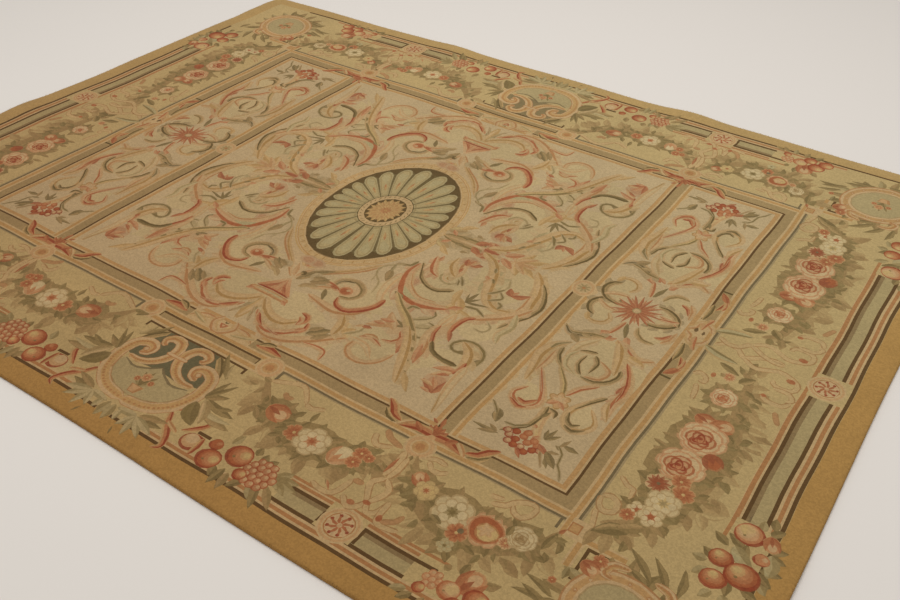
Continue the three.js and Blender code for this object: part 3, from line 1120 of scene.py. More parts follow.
# %% Red mounts and volutes
def red_mount():
    """Red leaves over the joint between the middle panel and a side panel."""
    for tip in ((776, 806), (790, 796), (806, 792), (822, 796), (838, 806)):
        leaf((806, 850), tip, 22, BRICK_SET)
    for side in (1, -1):
        def at(x, y):
            return (806 + side * (x - 806), y)
        scroll([at(812, 838), at(850, 836), at(884, 846), at(912, 860)], 26, 4, 8, BRICK_SET, 1)
        leaf(at(846, 842), at(878, 818), 20, BRICK_SET)
        scroll([at(880, 822), at(904, 842), at(918, 862)], 10, 5, 3, (PEACH_EDGE, PEACH_LIGHT, CREAM), 1)
        scroll([at(914, 844), at(946, 832), at(964, 808), at(990, 788)], 6, 8, 16, BRICK_SET, 1)
        scroll([at(924, 856), at(956, 848), at(978, 824)], 4, 4, 6, OLIVE_SET, 1)
    lay(oval((806, 846), 12, 9, 10), PEACH)
    leaf((806, 800), (800, 762), 16, BRICK_SET)
    leaf((790, 792), (768, 780), 12, BRICK_SET)


def middle_volutes():
    """On the long sides' middle line."""
    block(0, 130, 806, 860, CREAM)
    scroll([(26, 790), (40, 824), (16, 858), (-6, 862)], 10, 10, 8, PEACH_SET, 1)
    scroll([(44, 812), (88, 816), (130, 846)], 8, 4, 12, PEACH_SET, 1)
    scroll([(128, 822), (92, 836), (52, 850)], 4, 6, 8, (OLIVE_LIGHT, SAGE_LIGHT, CREAM), 1)
    lay(stroke([(-7, 806), (0, 814), (7, 806)], 6, 6), OLIVE_DARK)
    lay([(-16, 820), (16, 820), (9, 834), (0, 842), (-9, 834)], RUST)
    lay([(-7, 824), (7, 824), (0, 834)], ROSE_PALE)
    scroll([(148, 838), (178, 830), (206, 830), (252, 840)], 6, 4, 22, BRICK_SET, 1)
    scroll([(152, 832), (176, 812), (206, 808)], 4, 6, 10, OLIVE_SET, 1)


def end_volutes():
    """On the short middle line, where the ribbon of the end border is tied."""
    block(1200, 1242, 0, 74, CREAM)
    scroll([(1196, 34), (1222, 60), (1252, 44), (1262, 18)], 8, 8, 8, PEACH_SET, 1)
    scroll([(1186, 8), (1204, 24), (1206, 50)], 10, 6, 6, PEACH_SET, 1)
    if mirror[1] > 0:
        lay(oval((1211, 12), 7, 12, 9), LINE_DARK)
        lay(oval((1237, 6), 6, 11, 9), LINE_DARK)
    scroll([(1224, 20), (1228, 60), (1240, 90)], 8, 8, 4, RUST_SET, 1)
    scroll([(1206, 72), (1212, 120), (1208, 170)], 3, 3, 10, OLIVE_SET, 1)
    scroll([(1222, 140), (1236, 170), (1240, 200), (1214, 240)], 3, 10, 10, BRICK_SET, -1)
    scroll([(1240, 148), (1244, 178), (1236, 206)], 4, 4, 3, RUST_SET, 1)
    leaf((1240, 196), (1210, 242), 24, BRICK_SET)
    block(1204, 1240, 246, 254, OLIVE_DARK)


def panel_roundel():
    """On the bands between two panels, on the long middle line."""
    lay(oval((819, 0), 42, 46, 22), CREAM)
    lay(oval((819, 0), 36, 40, 22), PEACH)
    lay(oval((819, 0), 28, 32, 18), CREAM)
    petal_ring((819, 0), 5, 24, 8, 10, OLIVE_LIGHT)
    lay(oval((819, 0), 7, 7, 8), PEACH_EDGE)


in_quarters(red_mount)
in_quarters(middle_volutes)
in_quarters(end_volutes)
on_both_sides(panel_roundel)
print("patches after the mounts:", len(patches))

# %% [markdown]
# ## Flowers
# The border's flowers are the common ones of a rose garland: full roses, flat open flowers,
# tulip buds, little stars, and fruit. Each is built from rings of petals, from the back
# forwards, so a dozen lines make a flower that can be set anywhere at any size.

# %% Kinds of flower
def petals(centre, radius, reach, count, width, shade, face, turn):
    """A ring of round petals, each with its shade behind it. The sizes are shares of radius."""
    for k in range(count):
        angle = turn + 2 * math.pi * k / count
        way = towards(angle)
        place = np.array(centre) + way * radius * (reach - 0.27)
        lay(oval(place, radius * 0.28, radius * width / 2, 9, angle), shade)
        lay(oval(place - way * radius * 0.05, radius * 0.23, radius * (width / 2 - 0.05), 8, angle), face)


def full_rose(centre, radius, pale=ROSE_PALE, shade=ROSE, deep=RUST, heart=BRICK):
    """A rose that turns its heart a little to one side, with a red shadow on the other."""
    bright = between(pale, PETAL_WHITE, 0.55)
    petals(centre, radius, 1.0, 7, 0.82, between(shade, bright, 0.3), bright, 0.2)
    x, y = centre
    lay(oval((x + radius * 0.06, y - radius * 0.1), radius * 0.7, radius * 0.62, 14, 0.5, 0.05), deep)
    centre = (x - radius * 0.03, y + radius * 0.04)
    petals(centre, radius, 0.82, 5, 0.86, between(shade, bright, 0.2), bright, 0.6)
    centre = (x - radius * 0.06, y + radius * 0.09)
    petals(centre, radius, 0.62, 4, 0.72, deep, between(pale, shade, 0.2), 0.1)
    petals(centre, radius, 0.46, 4, 0.5, between(heart, deep), between(pale, shade, 0.5), 0.8)
    petals(centre, radius, 0.34, 3, 0.34, heart, shade, 0.3)
    lay(oval(np.array(centre) - radius * 0.05, radius * 0.12, radius * 0.1, 8), heart)


def rimmed_rose(centre, radius):
    """A rose seen from above, with a red ring and a pale cup."""
    x, y = centre
    petals(centre, radius, 1.0, 8, 0.7, between(ROSE, ROSE_PALE), ROSE_PALE, 0.1)
    for push_x, push_y, across, along, sides, wool in (
        (0, 0, 0.84, 0.8, 16, ROSE), (0, 0, 0.76, 0.71, 16, RUST),
        (0.1, 0.08, 0.58, 0.52, 14, PEACH_EDGE), (0.12, 0.1, 0.5, 0.44, 14, STRAW),
    ):
        place = (x + radius * push_x, y + radius * push_y)
        lay(oval(place, radius * across, radius * along, sides, 0, 0.04), wool)
    petals(centre, radius, 0.44, 5, 0.3, PEACH, ROSE_PALE, 0.5)


def open_flower(centre, radius, petal=PETAL_WHITE, heart=ROSE, eye=OLIVE, count=6):
    """A flat pale flower: two rings of petals, and stamens round its eye."""
    shade = between(petal, LEAF_TAN, 0.8)
    petals(centre, radius, 1.0, count, 0.82, shade, between(petal, BORDER_CREAM, 0.3), 0.4)
    petals(centre, radius, 0.76, count, 0.6, shade, petal, 0.4 + math.pi / count)
    rays(centre, radius * 0.06, radius * 0.46, count, radius * 0.16, (heart, heart, heart), 0.4)
    rays(centre, radius * 0.06, radius * 0.3, count, radius * 0.12, (eye, eye, eye), 0.9)
    lay(oval(centre, radius * 0.13, radius * 0.13, 8), eye)


def star_flower(centre, radius, petal=RUST, rim=ROSE, eye=STRAW):
    """A small flower with pointed petals."""
    petals(centre, radius, 1.0, 6, 0.8, between(rim, BORDER_CREAM), rim, 0.3)
    rays(centre, radius * 0.1, radius * 0.92, 12, radius * 0.34, (petal, petal, rim), 0.1)
    rays(centre, radius * 0.1, radius * 0.6, 7, radius * 0.3, (BRICK, petal, petal), 0.4)
    lay(oval(centre, radius * 0.16, radius * 0.16, 8), eye)


def tulip(centre, radius, turn, wools=(BRICK, RUST, ROSE), cup=ROSE_PALE):
    """A half-open bud. turn is the way in which it opens."""
    way = towards(turn)
    side = sideways(way)
    centre = np.array(centre, float)
    root = centre - way * radius * 0.9
    lay(oval(centre, radius, radius * 0.82, 12, turn), between(wools[2], BORDER_CREAM, 0.3))
    lay(oval(centre - way * radius * 0.1, radius * 0.84, radius * 0.72, 12, turn), wools[1])
    lay(oval(centre + way * radius * 0.25, radius * 0.6, radius * 0.5, 10, turn), wools[2])
    lay(oval(centre + way * radius * 0.3, radius * 0.48, radius * 0.4, 10, turn), cup)
    dark, body, light = wools
    for hand, edge in ((1, body), (-1, dark)):
        tip = centre + way * radius * 0.8 + side * radius * 0.6 * hand
        leaf(root, tip, radius * 0.5, (edge, body, light), radius * 0.3 * hand)
    leaf(root, centre + way * radius * 0.3, radius * 0.4, (dark, dark, body))


APPLE_SHARE = 0.9  # the body of a fruit within the radius that it's given


def apple(centre, radius, side=0.6, wools=(BRICK, RUST, ROSE, STRAW)):
    """Fruit: red at its rim, pale where the light falls. side is the light's direction."""
    radius = radius * APPLE_SHARE
    rim, skin, glow, light = wools
    tones = (rim, skin, between(skin, glow, 0.6), glow, between(glow, light, 0.6), light)
    for k, wool in enumerate(tones):
        share = 1 - 0.15 * k
        push = radius * 0.1 * k
        place = (centre[0] + push * math.cos(side), centre[1] - push * math.sin(side))
        lay(oval(place, radius * share, radius * share * 0.95, 14, 0, 0.02), wool)
    lay(oval((centre[0] - radius * 0.3, centre[1] + radius * 0.2), radius * 0.12, radius * 0.1, 6), OLIVE)


def grapes(centre, radius, berry, wools=(BRICK, RUST, ROSE_PALE)):
    """A bunch of berries inside an oval."""
    rows = int(radius / berry) + 1
    for row in range(-rows, rows + 1):
        for column in range(-rows, rows + 1):
            x = column * berry * 1.55 + (row % 2) * berry * 0.77
            y = row * berry * 1.35
            if math.hypot(x, y) > radius:
                continue
            place = (centre[0] + x + dice.uniform(-2, 2), centre[1] + y + dice.uniform(-2, 2))
            lay(oval(place, berry, berry, 8), between(wools[0], wools[1], 0.6))
            lay(oval(place, berry * 0.78, berry * 0.78, 7), between(wools[1], wools[2], 0.35), 0.1)
            glint = (place[0] + berry * 0.2, place[1] - berry * 0.25)
            lay(oval(glint, berry * 0.46, berry * 0.44, 6), wools[2])


print(
    "kinds of flower:",
    [kind.__name__ for kind in (full_rose, rimmed_rose, open_flower, star_flower, tulip)]
)

# %% [markdown]
# ## Garlands
# A garland is a bent path with a mass of leaves on its outer side, in olive and in the brown
# of faded green, and flowers along it. Each large flower also gets a wreath of leaves. The
# leaves are strewn by a seeded dice, so they differ from quarter to quarter but come out the
# same on every run.

# %% Leaves and ribbons of a garland
LEAF_GREENS = [
    (OLIVE_DARK, OLIVE, LEAF_BROWN), (OLIVE, LEAF_BROWN, LEAF_TAN), (OLIVE, OLIVE, OLIVE_LIGHT),
]
LEAVES = [OLIVE_SET, SHADE_SET, SHADE_SET, SAGE_SET]
FADED = [
    (LEAF_BROWN, LEAF_TAN, LEAF_TAN), (LEAF_TAN, LEAF_TAN, BORDER_CREAM),
    (LEAF_BROWN, LEAF_BROWN, LEAF_TAN),
]
SWAG_LEFT = [
    (286, 925), (330, 985), (400, 1040), (500, 1072), (600, 1072), (690, 1036), (745, 985), (780, 930),
]
SWAG_RIGHT = [
    (815, 925), (866, 1010), (930, 1066), (1020, 1092), (1110, 1080), (1180, 1040), (1226, 990),
    (1250, 930),
]
FAR_SMALL = 0.8  # the weaver drew the far and the left garlands smaller
BIG_FLOWER = 22  # from this radius a flower has a dark cloud and a wreath under it
FULL_WREATH = 30  # and from this one its wreath has six leaves
PALE_EVERY = 24  # millimetres of path for each pale leaf
GREEN_EVERY = 19  # and for each green one
SIDE_SWAG = [
    (1396, 92), (1436, 130), (1448, 220), (1462, 310), (1484, 410), (1486, 530), (1470, 650),
    (1440, 750), (1390, 800), (1320, 846),
]


def strewn(path, side, low, high, count, size, wools_list, spread=0.8):
    """Strews leaves along a path, low to high millimetres to one side of it."""
    line = flowing(path, 8)
    step = np.gradient(line, axis=0)
    for _ in range(count):
        k = dice.randrange(len(line))
        way = step[k] / np.linalg.norm(step[k])
        out = sideways(way) * side
        base = line[k] + out * dice.uniform(low, high)
        angle = math.atan2(out[1], out[0]) + dice.uniform(-spread, spread)
        length = dice.uniform(*size)
        tip = base + length * towards(angle)
        width = length * dice.uniform(0.42, 0.6)
        leaf(base, tip, width, dice.choice(wools_list), dice.uniform(-6, 6))


def wreath(centre, radius):
    """Leaves that stick out from under one flower."""
    count = 4 if radius < FULL_WREATH else 6
    start = dice.uniform(0, 2 * math.pi)
    for k in range(count):
        angle = start + 2 * math.pi * (k + dice.uniform(-0.25, 0.25)) / count
        way = towards(angle)
        tip = centre + way * (radius + dice.uniform(22, 36))
        width = dice.uniform(20, 27)
        leaf(centre + way * radius * 0.5, tip, width, dice.choice(LEAF_GREENS), dice.uniform(-5, 5))


def garland(path, side, flowers, length, small=1.0):
    """A soft shadow of leaves, darker leaves close to the path, and the flowers on top."""
    flowers = [(kind, centre, radius * small, *rest) for kind, centre, radius, *rest in flowers]
    lay(stroke(path, 26, 26, 44, 0.5 * side), between(LEAF_TAN, ground[0], 0.45))
    strewn(path, side, 6, 40, length // PALE_EVERY, (50, 76), FADED)
    lay(stroke(path, 14, 14, 30, 0.2 * side), between(LEAF_BROWN, LEAF_TAN, 0.4))
    big_ones = [(np.array(centre), radius) for _, centre, radius, *_ in flowers if radius > BIG_FLOWER]
    for centre, radius in big_ones:
        lay(oval(centre, radius * 1.3 + 6, radius * 1.2 + 6, 10, 0, 0.1), between(OLIVE, LEAF_TAN, 0.5))
    strewn(path, side, -10, 30, length // GREEN_EVERY, (26, 46), LEAF_GREENS, 1.2)
    for centre, radius in big_ones:
        wreath(centre, radius)
    for kind, centre, radius, *rest in flowers:
        kind(centre, radius, *rest)


def ribbon(points, width=5, wool=ROSE_PALE):
    """A pale ribbon with a darker line along its edges."""
    lay(stroke(points, width + 13, width + 11, 3), between(PEACH_EDGE, LEAF_BROWN, 0.5))
    lay(stroke(points, width + 7, width + 5, 3, 0.1), between(wool, ground[0], 0.5))


print("leaves in a metre of garland:", 1000 // PALE_EVERY + 1000 // GREEN_EVERY)

# %% [markdown]
# A garland is written as a list of its flowers: the kind, the place, the radius, and the
# wools where they differ from the usual ones. Loose leaves and ribbons are added one by one.

# %% Garlands of the long sides
def left_swag():
    """From the corner block to the ring, with a white flower in its middle."""
    flowers = [
        (tulip, (404, 1018), 42, 0.2),
        (star_flower, (494, 1048), 34),
        (open_flower, (556, 1046), 56, PETAL_WHITE, ROSE, RUST),
        (tulip, (648, 1046), 40, -1.3, (ROSE, ROSE, PETAL_WHITE), PETAL_WHITE),
        (star_flower, (690, 1006), 26),
        (star_flower, (716, 1010), 18),
        (star_flower, (690, 1044), 24),
    ]
    garland(SWAG_LEFT, 1, flowers, 620, FAR_SMALL if mirror[1] > 0 else 1)
    leaf((452, 1000), (470, 968), 22, OLIVE_SET)
    leaf((500, 990), (502, 946), 18, OLIVE_SET)
    for x, y in ((454, 1022), (456, 1052), (452, 1084)):
        leaf((440, y + 14), (x + 14, y - 8), 18, OLIVE_SET)
    leaf((600, 1016), (628, 986), 20, SHADE_SET)
    leaf((590, 1080), (630, 1094), 18, OLIVE_SET)
    leaf((370, 1070), (330, 1030), 20, SHADE_SET)
    ribbon([(300, 930), (345, 912), (372, 898), (400, 896), (424, 916), (446, 944)])
    ribbon([(366, 944), (384, 958), (404, 950)], 4, RUST)
    ribbon([(446, 944), (470, 950), (492, 938), (508, 930)], 4)


def right_swag():
    """From the ring to the corner, with a rimmed rose and a white flower."""
    flowers = [
        (tulip, (872, 990), 30, -2.4),
        (open_flower, (906, 1012), 36, STRAW, PEACH, RUST),
        (open_flower, (1002, 1032), 60, PETAL_WHITE, OLIVE_LIGHT, OLIVE),
        (rimmed_rose, (1102, 1032), 56),
        (star_flower, (1046, 1080), 32),
        (star_flower, (1160, 1036), 20, ROSE, ROSE_PALE),
        (full_rose, (1186, 1000), 40, PETAL_WHITE, LEAF_TAN, LEAF_TAN, LEAF_BROWN),
        (open_flower, (1044, 1128), 24, SAGE_LIGHT, OLIVE_LIGHT, OLIVE, 5),
    ]
    garland(SWAG_RIGHT, 1, flowers, 600, FAR_SMALL if mirror[1] > 0 else 1)
    lay(oval((1052, 1070), 9, 9, 8), BLUE_DARK)
    for x in (1082, 1108, 1132):
        leaf((x - 4, 992), (x, 958), 18, SHADE_SET)
    leaf((1150, 1014), (1150, 976), 20, OLIVE_SET)
    leaf((960, 1066), (1000, 1080), 20, OLIVE_SET)
    leaf((1238, 1000), (1250, 936), 22, OLIVE_SET)
    leaf((1252, 934), (1262, 912), 12, BRICK_SET)
    ribbon([(1050, 930), (1070, 928), (1090, 922)], 3)
    ribbon([(1066, 952), (1100, 938), (1118, 912), (1148, 894), (1172, 896)])
    ribbon([(1172, 896), (1168, 928), (1150, 948), (1128, 944), (1116, 926)], 4)


def ribbon_knots():
    """Ribbons that hang from the ring between the two swags."""
    ribbon([(690, 890), (714, 914), (764, 928)], 6, RUST)
    ribbon([(674, 918), (684, 944), (704, 956), (742, 936)])
    ribbon([(838, 920), (868, 906), (904, 912)], 4)
    ribbon([(852, 922), (876, 944), (902, 944), (920, 928)], 4)
    ribbon([(780, 930), (786, 980), (782, 1036)], 10)
    leaf((780, 960), (776, 1030), 12, BRICK_SET)
    ribbon([(800, 946), (804, 1000), (796, 1040)], 6)
    ribbon([(796, 1040), (772, 1072), (788, 1112), (800, 1132)], 6)
    ribbon([(798, 1040), (826, 1070), (818, 1106), (802, 1132)], 6)
    ribbon([(728, 1092), (722, 1140), (706, 1164), (670, 1166), (644, 1156)])
    ribbon([(728, 1092), (760, 1090)], 6, RUST)
    ribbon([(736, 1146), (764, 1170), (788, 1160), (800, 1132)])
    ribbon([(802, 1132), (818, 1158), (840, 1146), (846, 1110)])
    ribbon([(852, 1098), (850, 1130), (860, 1168), (896, 1168), (924, 1158)])
    ribbon([(866, 1160), (896, 1142), (908, 1112)], 4, RUST)
    lay(oval((768, 1156), 12, 9, 9), RUST)
    lay(oval((802, 1134), 12, 9, 9), RUST)
    lay(oval((858, 1154), 9, 12, 9), RUST)
    leaf((676, 1132), (700, 1158), 9, RUST_SET)


in_quarters(left_swag)
in_quarters(right_swag)
in_quarters(ribbon_knots)
print("patches after the long garlands:", len(patches))

# %% [markdown]
# The garland of a short side bends the other way, so its leaves are strewn on its right. Its
# two full roses are the largest flowers of the carpet.

# %% Garlands of the short sides
def side_swag():
    """Half the length of a short side, with two large roses."""
    flowers = [
        (star_flower, (1380, 142), 22, ROSE, ROSE_PALE),
        (full_rose, (1402, 234), 42, PETAL_WHITE, ROSE, ROSE, RUST),
        (tulip, (1392, 352), 34, 0.4),
        (tulip, (1438, 354), 38, -0.5, (RUST, RUST, ROSE)),
        (full_rose, (1414, 424), 70),
        (full_rose, (1408, 550), 68),
        (tulip, (1470, 494), 34, 0.9, (BRICK, BRICK, RUST), RUST),
        (star_flower, (1432, 606), 28),
        (star_flower, (1452, 644), 32),
        (star_flower, (1386, 646), 36, BRICK, ROSE_PALE, BLUE_DARK),
        (open_flower, (1424, 700), 48, PETAL_WHITE, STRAW, OLIVE_LIGHT),
        (open_flower, (1380, 758), 30, PETAL_WHITE, RUST, RUST, 5),
        (open_flower, (1418, 758), 36, PETAL_WHITE, RUST, RUST, 5),
        (star_flower, (1366, 786), 22),
    ]
    garland(SIDE_SWAG, -1, flowers, 860, FAR_SMALL if mirror[0] < 0 else 1)
    for base, tip in (
        ((1372, 330), (1330, 324)), ((1366, 372), (1328, 366)), ((1350, 440), (1326, 404)),
        ((1356, 464), (1312, 462)), ((1350, 508), (1304, 498)), ((1344, 514), (1322, 544)),
        ((1372, 596), (1334, 574)), ((1394, 200), (1388, 168)), ((1366, 150), (1352, 136)),
    ):
        leaf(base, tip, 18, SHADE_SET)
    scroll([(1264, 42), (1310, 62), (1380, 74)], 10, 8, 18, (OLIVE, BAND_SAGE, SAGE_LIGHT), 1)
    leaf((1332, 94), (1404, 122), 26, OLIVE_SET)
    leaf((1412, 150), (1452, 110), 34, OLIVE_SET)
    leaf((1400, 830), (1312, 884), 40, OLIVE_SET, 8)
    leaf((1424, 800), (1360, 842), 34, SHADE_SET)
    # Ribbons run out to the roundel, and hang by the corner.
    ribbon([(1286, 22), (1322, 0), (1358, 6), (1386, 34), (1428, 8), (1470, -6), (1500, -2)])
    ribbon(
        [
            (1386, 34), (1424, 60), (1462, 50), (1494, 34), (1530, 40), (1558, 62), (1556, 92),
            (1530, 102), (1500, 98), (1490, 78),
        ]
    )
    ribbon([(1504, 112), (1548, 110), (1568, 134), (1554, 148)], 4)
    ribbon([(1486, 152), (1504, 174), (1550, 174), (1568, 146)])
    ribbon([(1544, 206), (1556, 234), (1568, 258)], 4, RUST)
    lay(oval((1536, 56), 14, 10, 9), RUST)
    lay(oval((1492, 158), 9, 8, 8), RUST)
    ribbon([(1282, 186), (1300, 170), (1324, 184), (1326, 204), (1308, 204)], 4)
    lay(oval((1336, 158), 8, 12, 8), RUST)
    ribbon([(1310, 220), (1322, 258), (1326, 292)], 4)
    ribbon([(1294, 678), (1322, 700), (1344, 706), (1346, 740)], 3)
    ribbon([(1282, 766), (1306, 756), (1332, 770), (1334, 800), (1308, 812), (1288, 796), (1280, 768)], 5)
    ribbon([(1290, 812), (1302, 846), (1312, 874)], 4)


in_quarters(side_swag)
print("patches after the garlands:", len(patches))

# %% [markdown]
# ## Fruit
# Bunches of apples, plums and grapes with red ribbon ends break the mouldings. Those of the
# far long side are a little smaller, like its garlands.

# %% Fruit bunches
def long_side_fruit():
    """Apples and grapes beside the cartouche, with a red ribbon end."""
    for base, tip in (
        ((386, 1180), (398, 1136)), ((470, 1176), (468, 1142)), ((500, 1196), (496, 1152)),
        ((516, 1190), (536, 1156)),
        ((430, 1256), (424, 1322)), ((448, 1262), (458, 1324)), ((404, 1262), (410, 1300)),
        ((500, 1256), (470, 1302)),
        ((520, 1256), (552, 1300)), ((540, 1250), (576, 1320)), ((560, 1236), (620, 1296)),
    ):
        leaf(base, tip, 26, dice.choice(LEAVES))
    for tip in ((600, 1166), (634, 1188), (644, 1214), (622, 1238), (596, 1232)):
        leaf((558, 1204), tip, 26, (OLIVE, OLIVE_LIGHT, SAGE_LIGHT))
    small = FAR_SMALL if mirror[1] > 0 else 1
    apple((352, 1204), 24 * small, 0.8, (BRICK, RUST, RUST, ROSE))
    apple((432, 1202), 46 * small)
    apple((368, 1254), 42 * small, 0.3)
    grapes((520, 1220), 48 * small, 14 * small)
    apple((474, 1250), 24 * small)
    # The red ribbon by the cartouche.
    scroll([(162, 1184), (184, 1220), (218, 1258), (234, 1296), (212, 1316)], 10, 3, 10, BRICK_SET, 1)
    leaf((176, 1172), (172, 1146), 16, BRICK_SET)
    scroll([(236, 1220), (262, 1196), (284, 1168), (276, 1148)], 4, 5, 11, BRICK_SET, 1)
    scroll([(182, 1216), (210, 1226), (232, 1236)], 5, 3, 5, PEACH_SET, 1)
    lay(oval((288, 1236), 34, 32, 16), BRICK)
    lay(oval((286, 1232), 27, 26, 14), PEACH)
    lay(oval((284, 1224), 20, 18, 12), PEACH_LIGHT)
    scroll([(312, 1206), (316, 1240), (314, 1274)], 6, 5, 5, BRICK_SET, 1)
    block(280, 326, 1192, 1203, LINE_DARK)


def corner_fruit():
    """Between a long moulding and the corner."""
    leaf((1128, 1180), (1128, 1138), 24, OLIVE_SET)
    leaf((1190, 1180), (1222, 1150), 26, SHADE_SET)
    for base, tip in (
        ((1040, 1280), (1000, 1300)), ((1060, 1284), (1030, 1316)), ((1090, 1280), (1086, 1322)),
        ((1130, 1276), (1140, 1322)), ((1170, 1276), (1196, 1318)), ((1200, 1262), (1236, 1300)),
        ((1100, 1180), (1078, 1176)),
    ):
        leaf(base, tip, 24, dice.choice(LEAVES))
    grapes((1078, 1226), 30, 12, (RUST, ROSE, ROSE_PALE))
    tulip((1160, 1186), 42, -1.2)
    apple((1196, 1222), 38)
    apple((1128, 1232), 34, 0.9, (RUST, ROSE, ROSE_PALE, STRAW))
    apple((1160, 1264), 30)
    apple((1222, 1262), 34, 0.4)
    apple((1062, 1262), 20)


def short_side_fruit():
    """Between a short moulding and the corner."""
    for base, tip in (
        ((1604, 730), (1560, 704)), ((1600, 790), (1556, 764)), ((1588, 820), (1564, 856)),
        ((1690, 694), (1734, 670)),
        ((1694, 706), (1740, 712)), ((1690, 760), (1744, 752)), ((1690, 812), (1728, 796)),
        ((1672, 840), (1716, 850)),
        ((1640, 880), (1660, 900)), ((1656, 640), (1650, 604)), ((1676, 640), (1706, 610)),
        ((1680, 620), (1672, 580)),
        ((1620, 880), (1600, 912)), ((1700, 800), (1726, 826)), ((1640, 720), (1590, 690)),
        ((1650, 760), (1640, 700)),
        ((1690, 770), (1730, 800)), ((1640, 830), (1650, 880)), ((1580, 800), (1544, 800)),
    ):
        leaf(base, tip, 26, dice.choice([OLIVE_SET, SAGE_SET, OLIVE_SET]))
    apple((1634, 668), 44, 2.6, (BRICK, ROSE, ROSE_PALE, STRAW))
    tulip((1690, 668), 28, 1.2, (BRICK, RUST, ROSE), ROSE_PALE)
    leaf((1616, 722), (1676, 770), 44, (OLIVE, BAND_SAGE, SAGE_LIGHT), 6)
    leaf((1700, 700), (1712, 776), 40, (OLIVE, BAND_SAGE, SAGE_LIGHT), -6)
    apple((1684, 728), 24, 0.6, (BRICK, ROSE, ROSE, ROSE_PALE))
    apple((1604, 776), 34, 2.2)
    apple((1664, 802), 48, 2.4)
    apple((1610, 846), 36, 1.8)


in_quarters(long_side_fruit)
in_quarters(corner_fruit)
in_quarters(short_side_fruit)
print("patches after the fruit:", len(patches))

# %% [markdown]
# ## Cartouches
# In the middle of each long side and in each corner a scrolled frame holds a pale field. The
# frame is a fat stroke that rolls up at its ends. The small field holds a plain sprig of
# flowers in a cup, a stock figure of such carpets.

# %% Cartouches
BEAD_GOLD = between(GOLD, LINE_PEACH, 0.4)
PALE_FIELD = between(FLUTE_PALE, BLUE_PALE, 0.3)


def beaded_scroll(points, start, end, belly, lean=1):
    """A carved frame with a row of beads along its middle."""
    lay(stroke(points, start + 6, end + 6, belly), PEACH_EDGE)
    lay(stroke(points, start + 1, end + 1, belly), PEACH_LIGHT)
    lay(stroke(points, start, end, belly, 0.16 * lean, 0.62), BEAD_GOLD)
    for place in flowing(points, 5)[1:-1]:
        lay(oval(place, 4.5, 4.5, 6), PEACH_EDGE)


def sprig(centre, size):
    """A small spray over a scalloped cup."""
    x, y = centre
    for angle, reach in ((-2.5, 0.8), (-2.0, 1.0), (-1.57, 1.1), (-1.14, 1.0), (-0.64, 0.8)):
        tip = (x + size * reach * math.cos(angle), y + size * reach * math.sin(angle))
        leaf((x, y), tip, size * 0.24, OLIVE_SET if reach > 0.9 else SAGE_SET)
    star_flower((x - size * 0.1, y - size * 0.62), size * 0.3, ROSE, PEACH)
    star_flower((x + size * 0.4, y - size * 0.4), size * 0.2, RUST, PEACH)
    star_flower((x - size * 0.45, y - size * 0.34), size * 0.2, RUST, PEACH)

    def cup(top, left, right, foot_left, foot_right, foot, wool):
        outline = [(left, top), (right, top), (foot_right, foot), (foot_left, foot)]
        lay([(x + size * across, y + along) for across, along in outline], wool)

    cup(0, -0.4, 0.4, -0.22, 0.22, size * 0.5, PEACH_EDGE)
    cup(2, -0.32, 0.2, -0.18, 0.1, size * 0.44, PEACH)


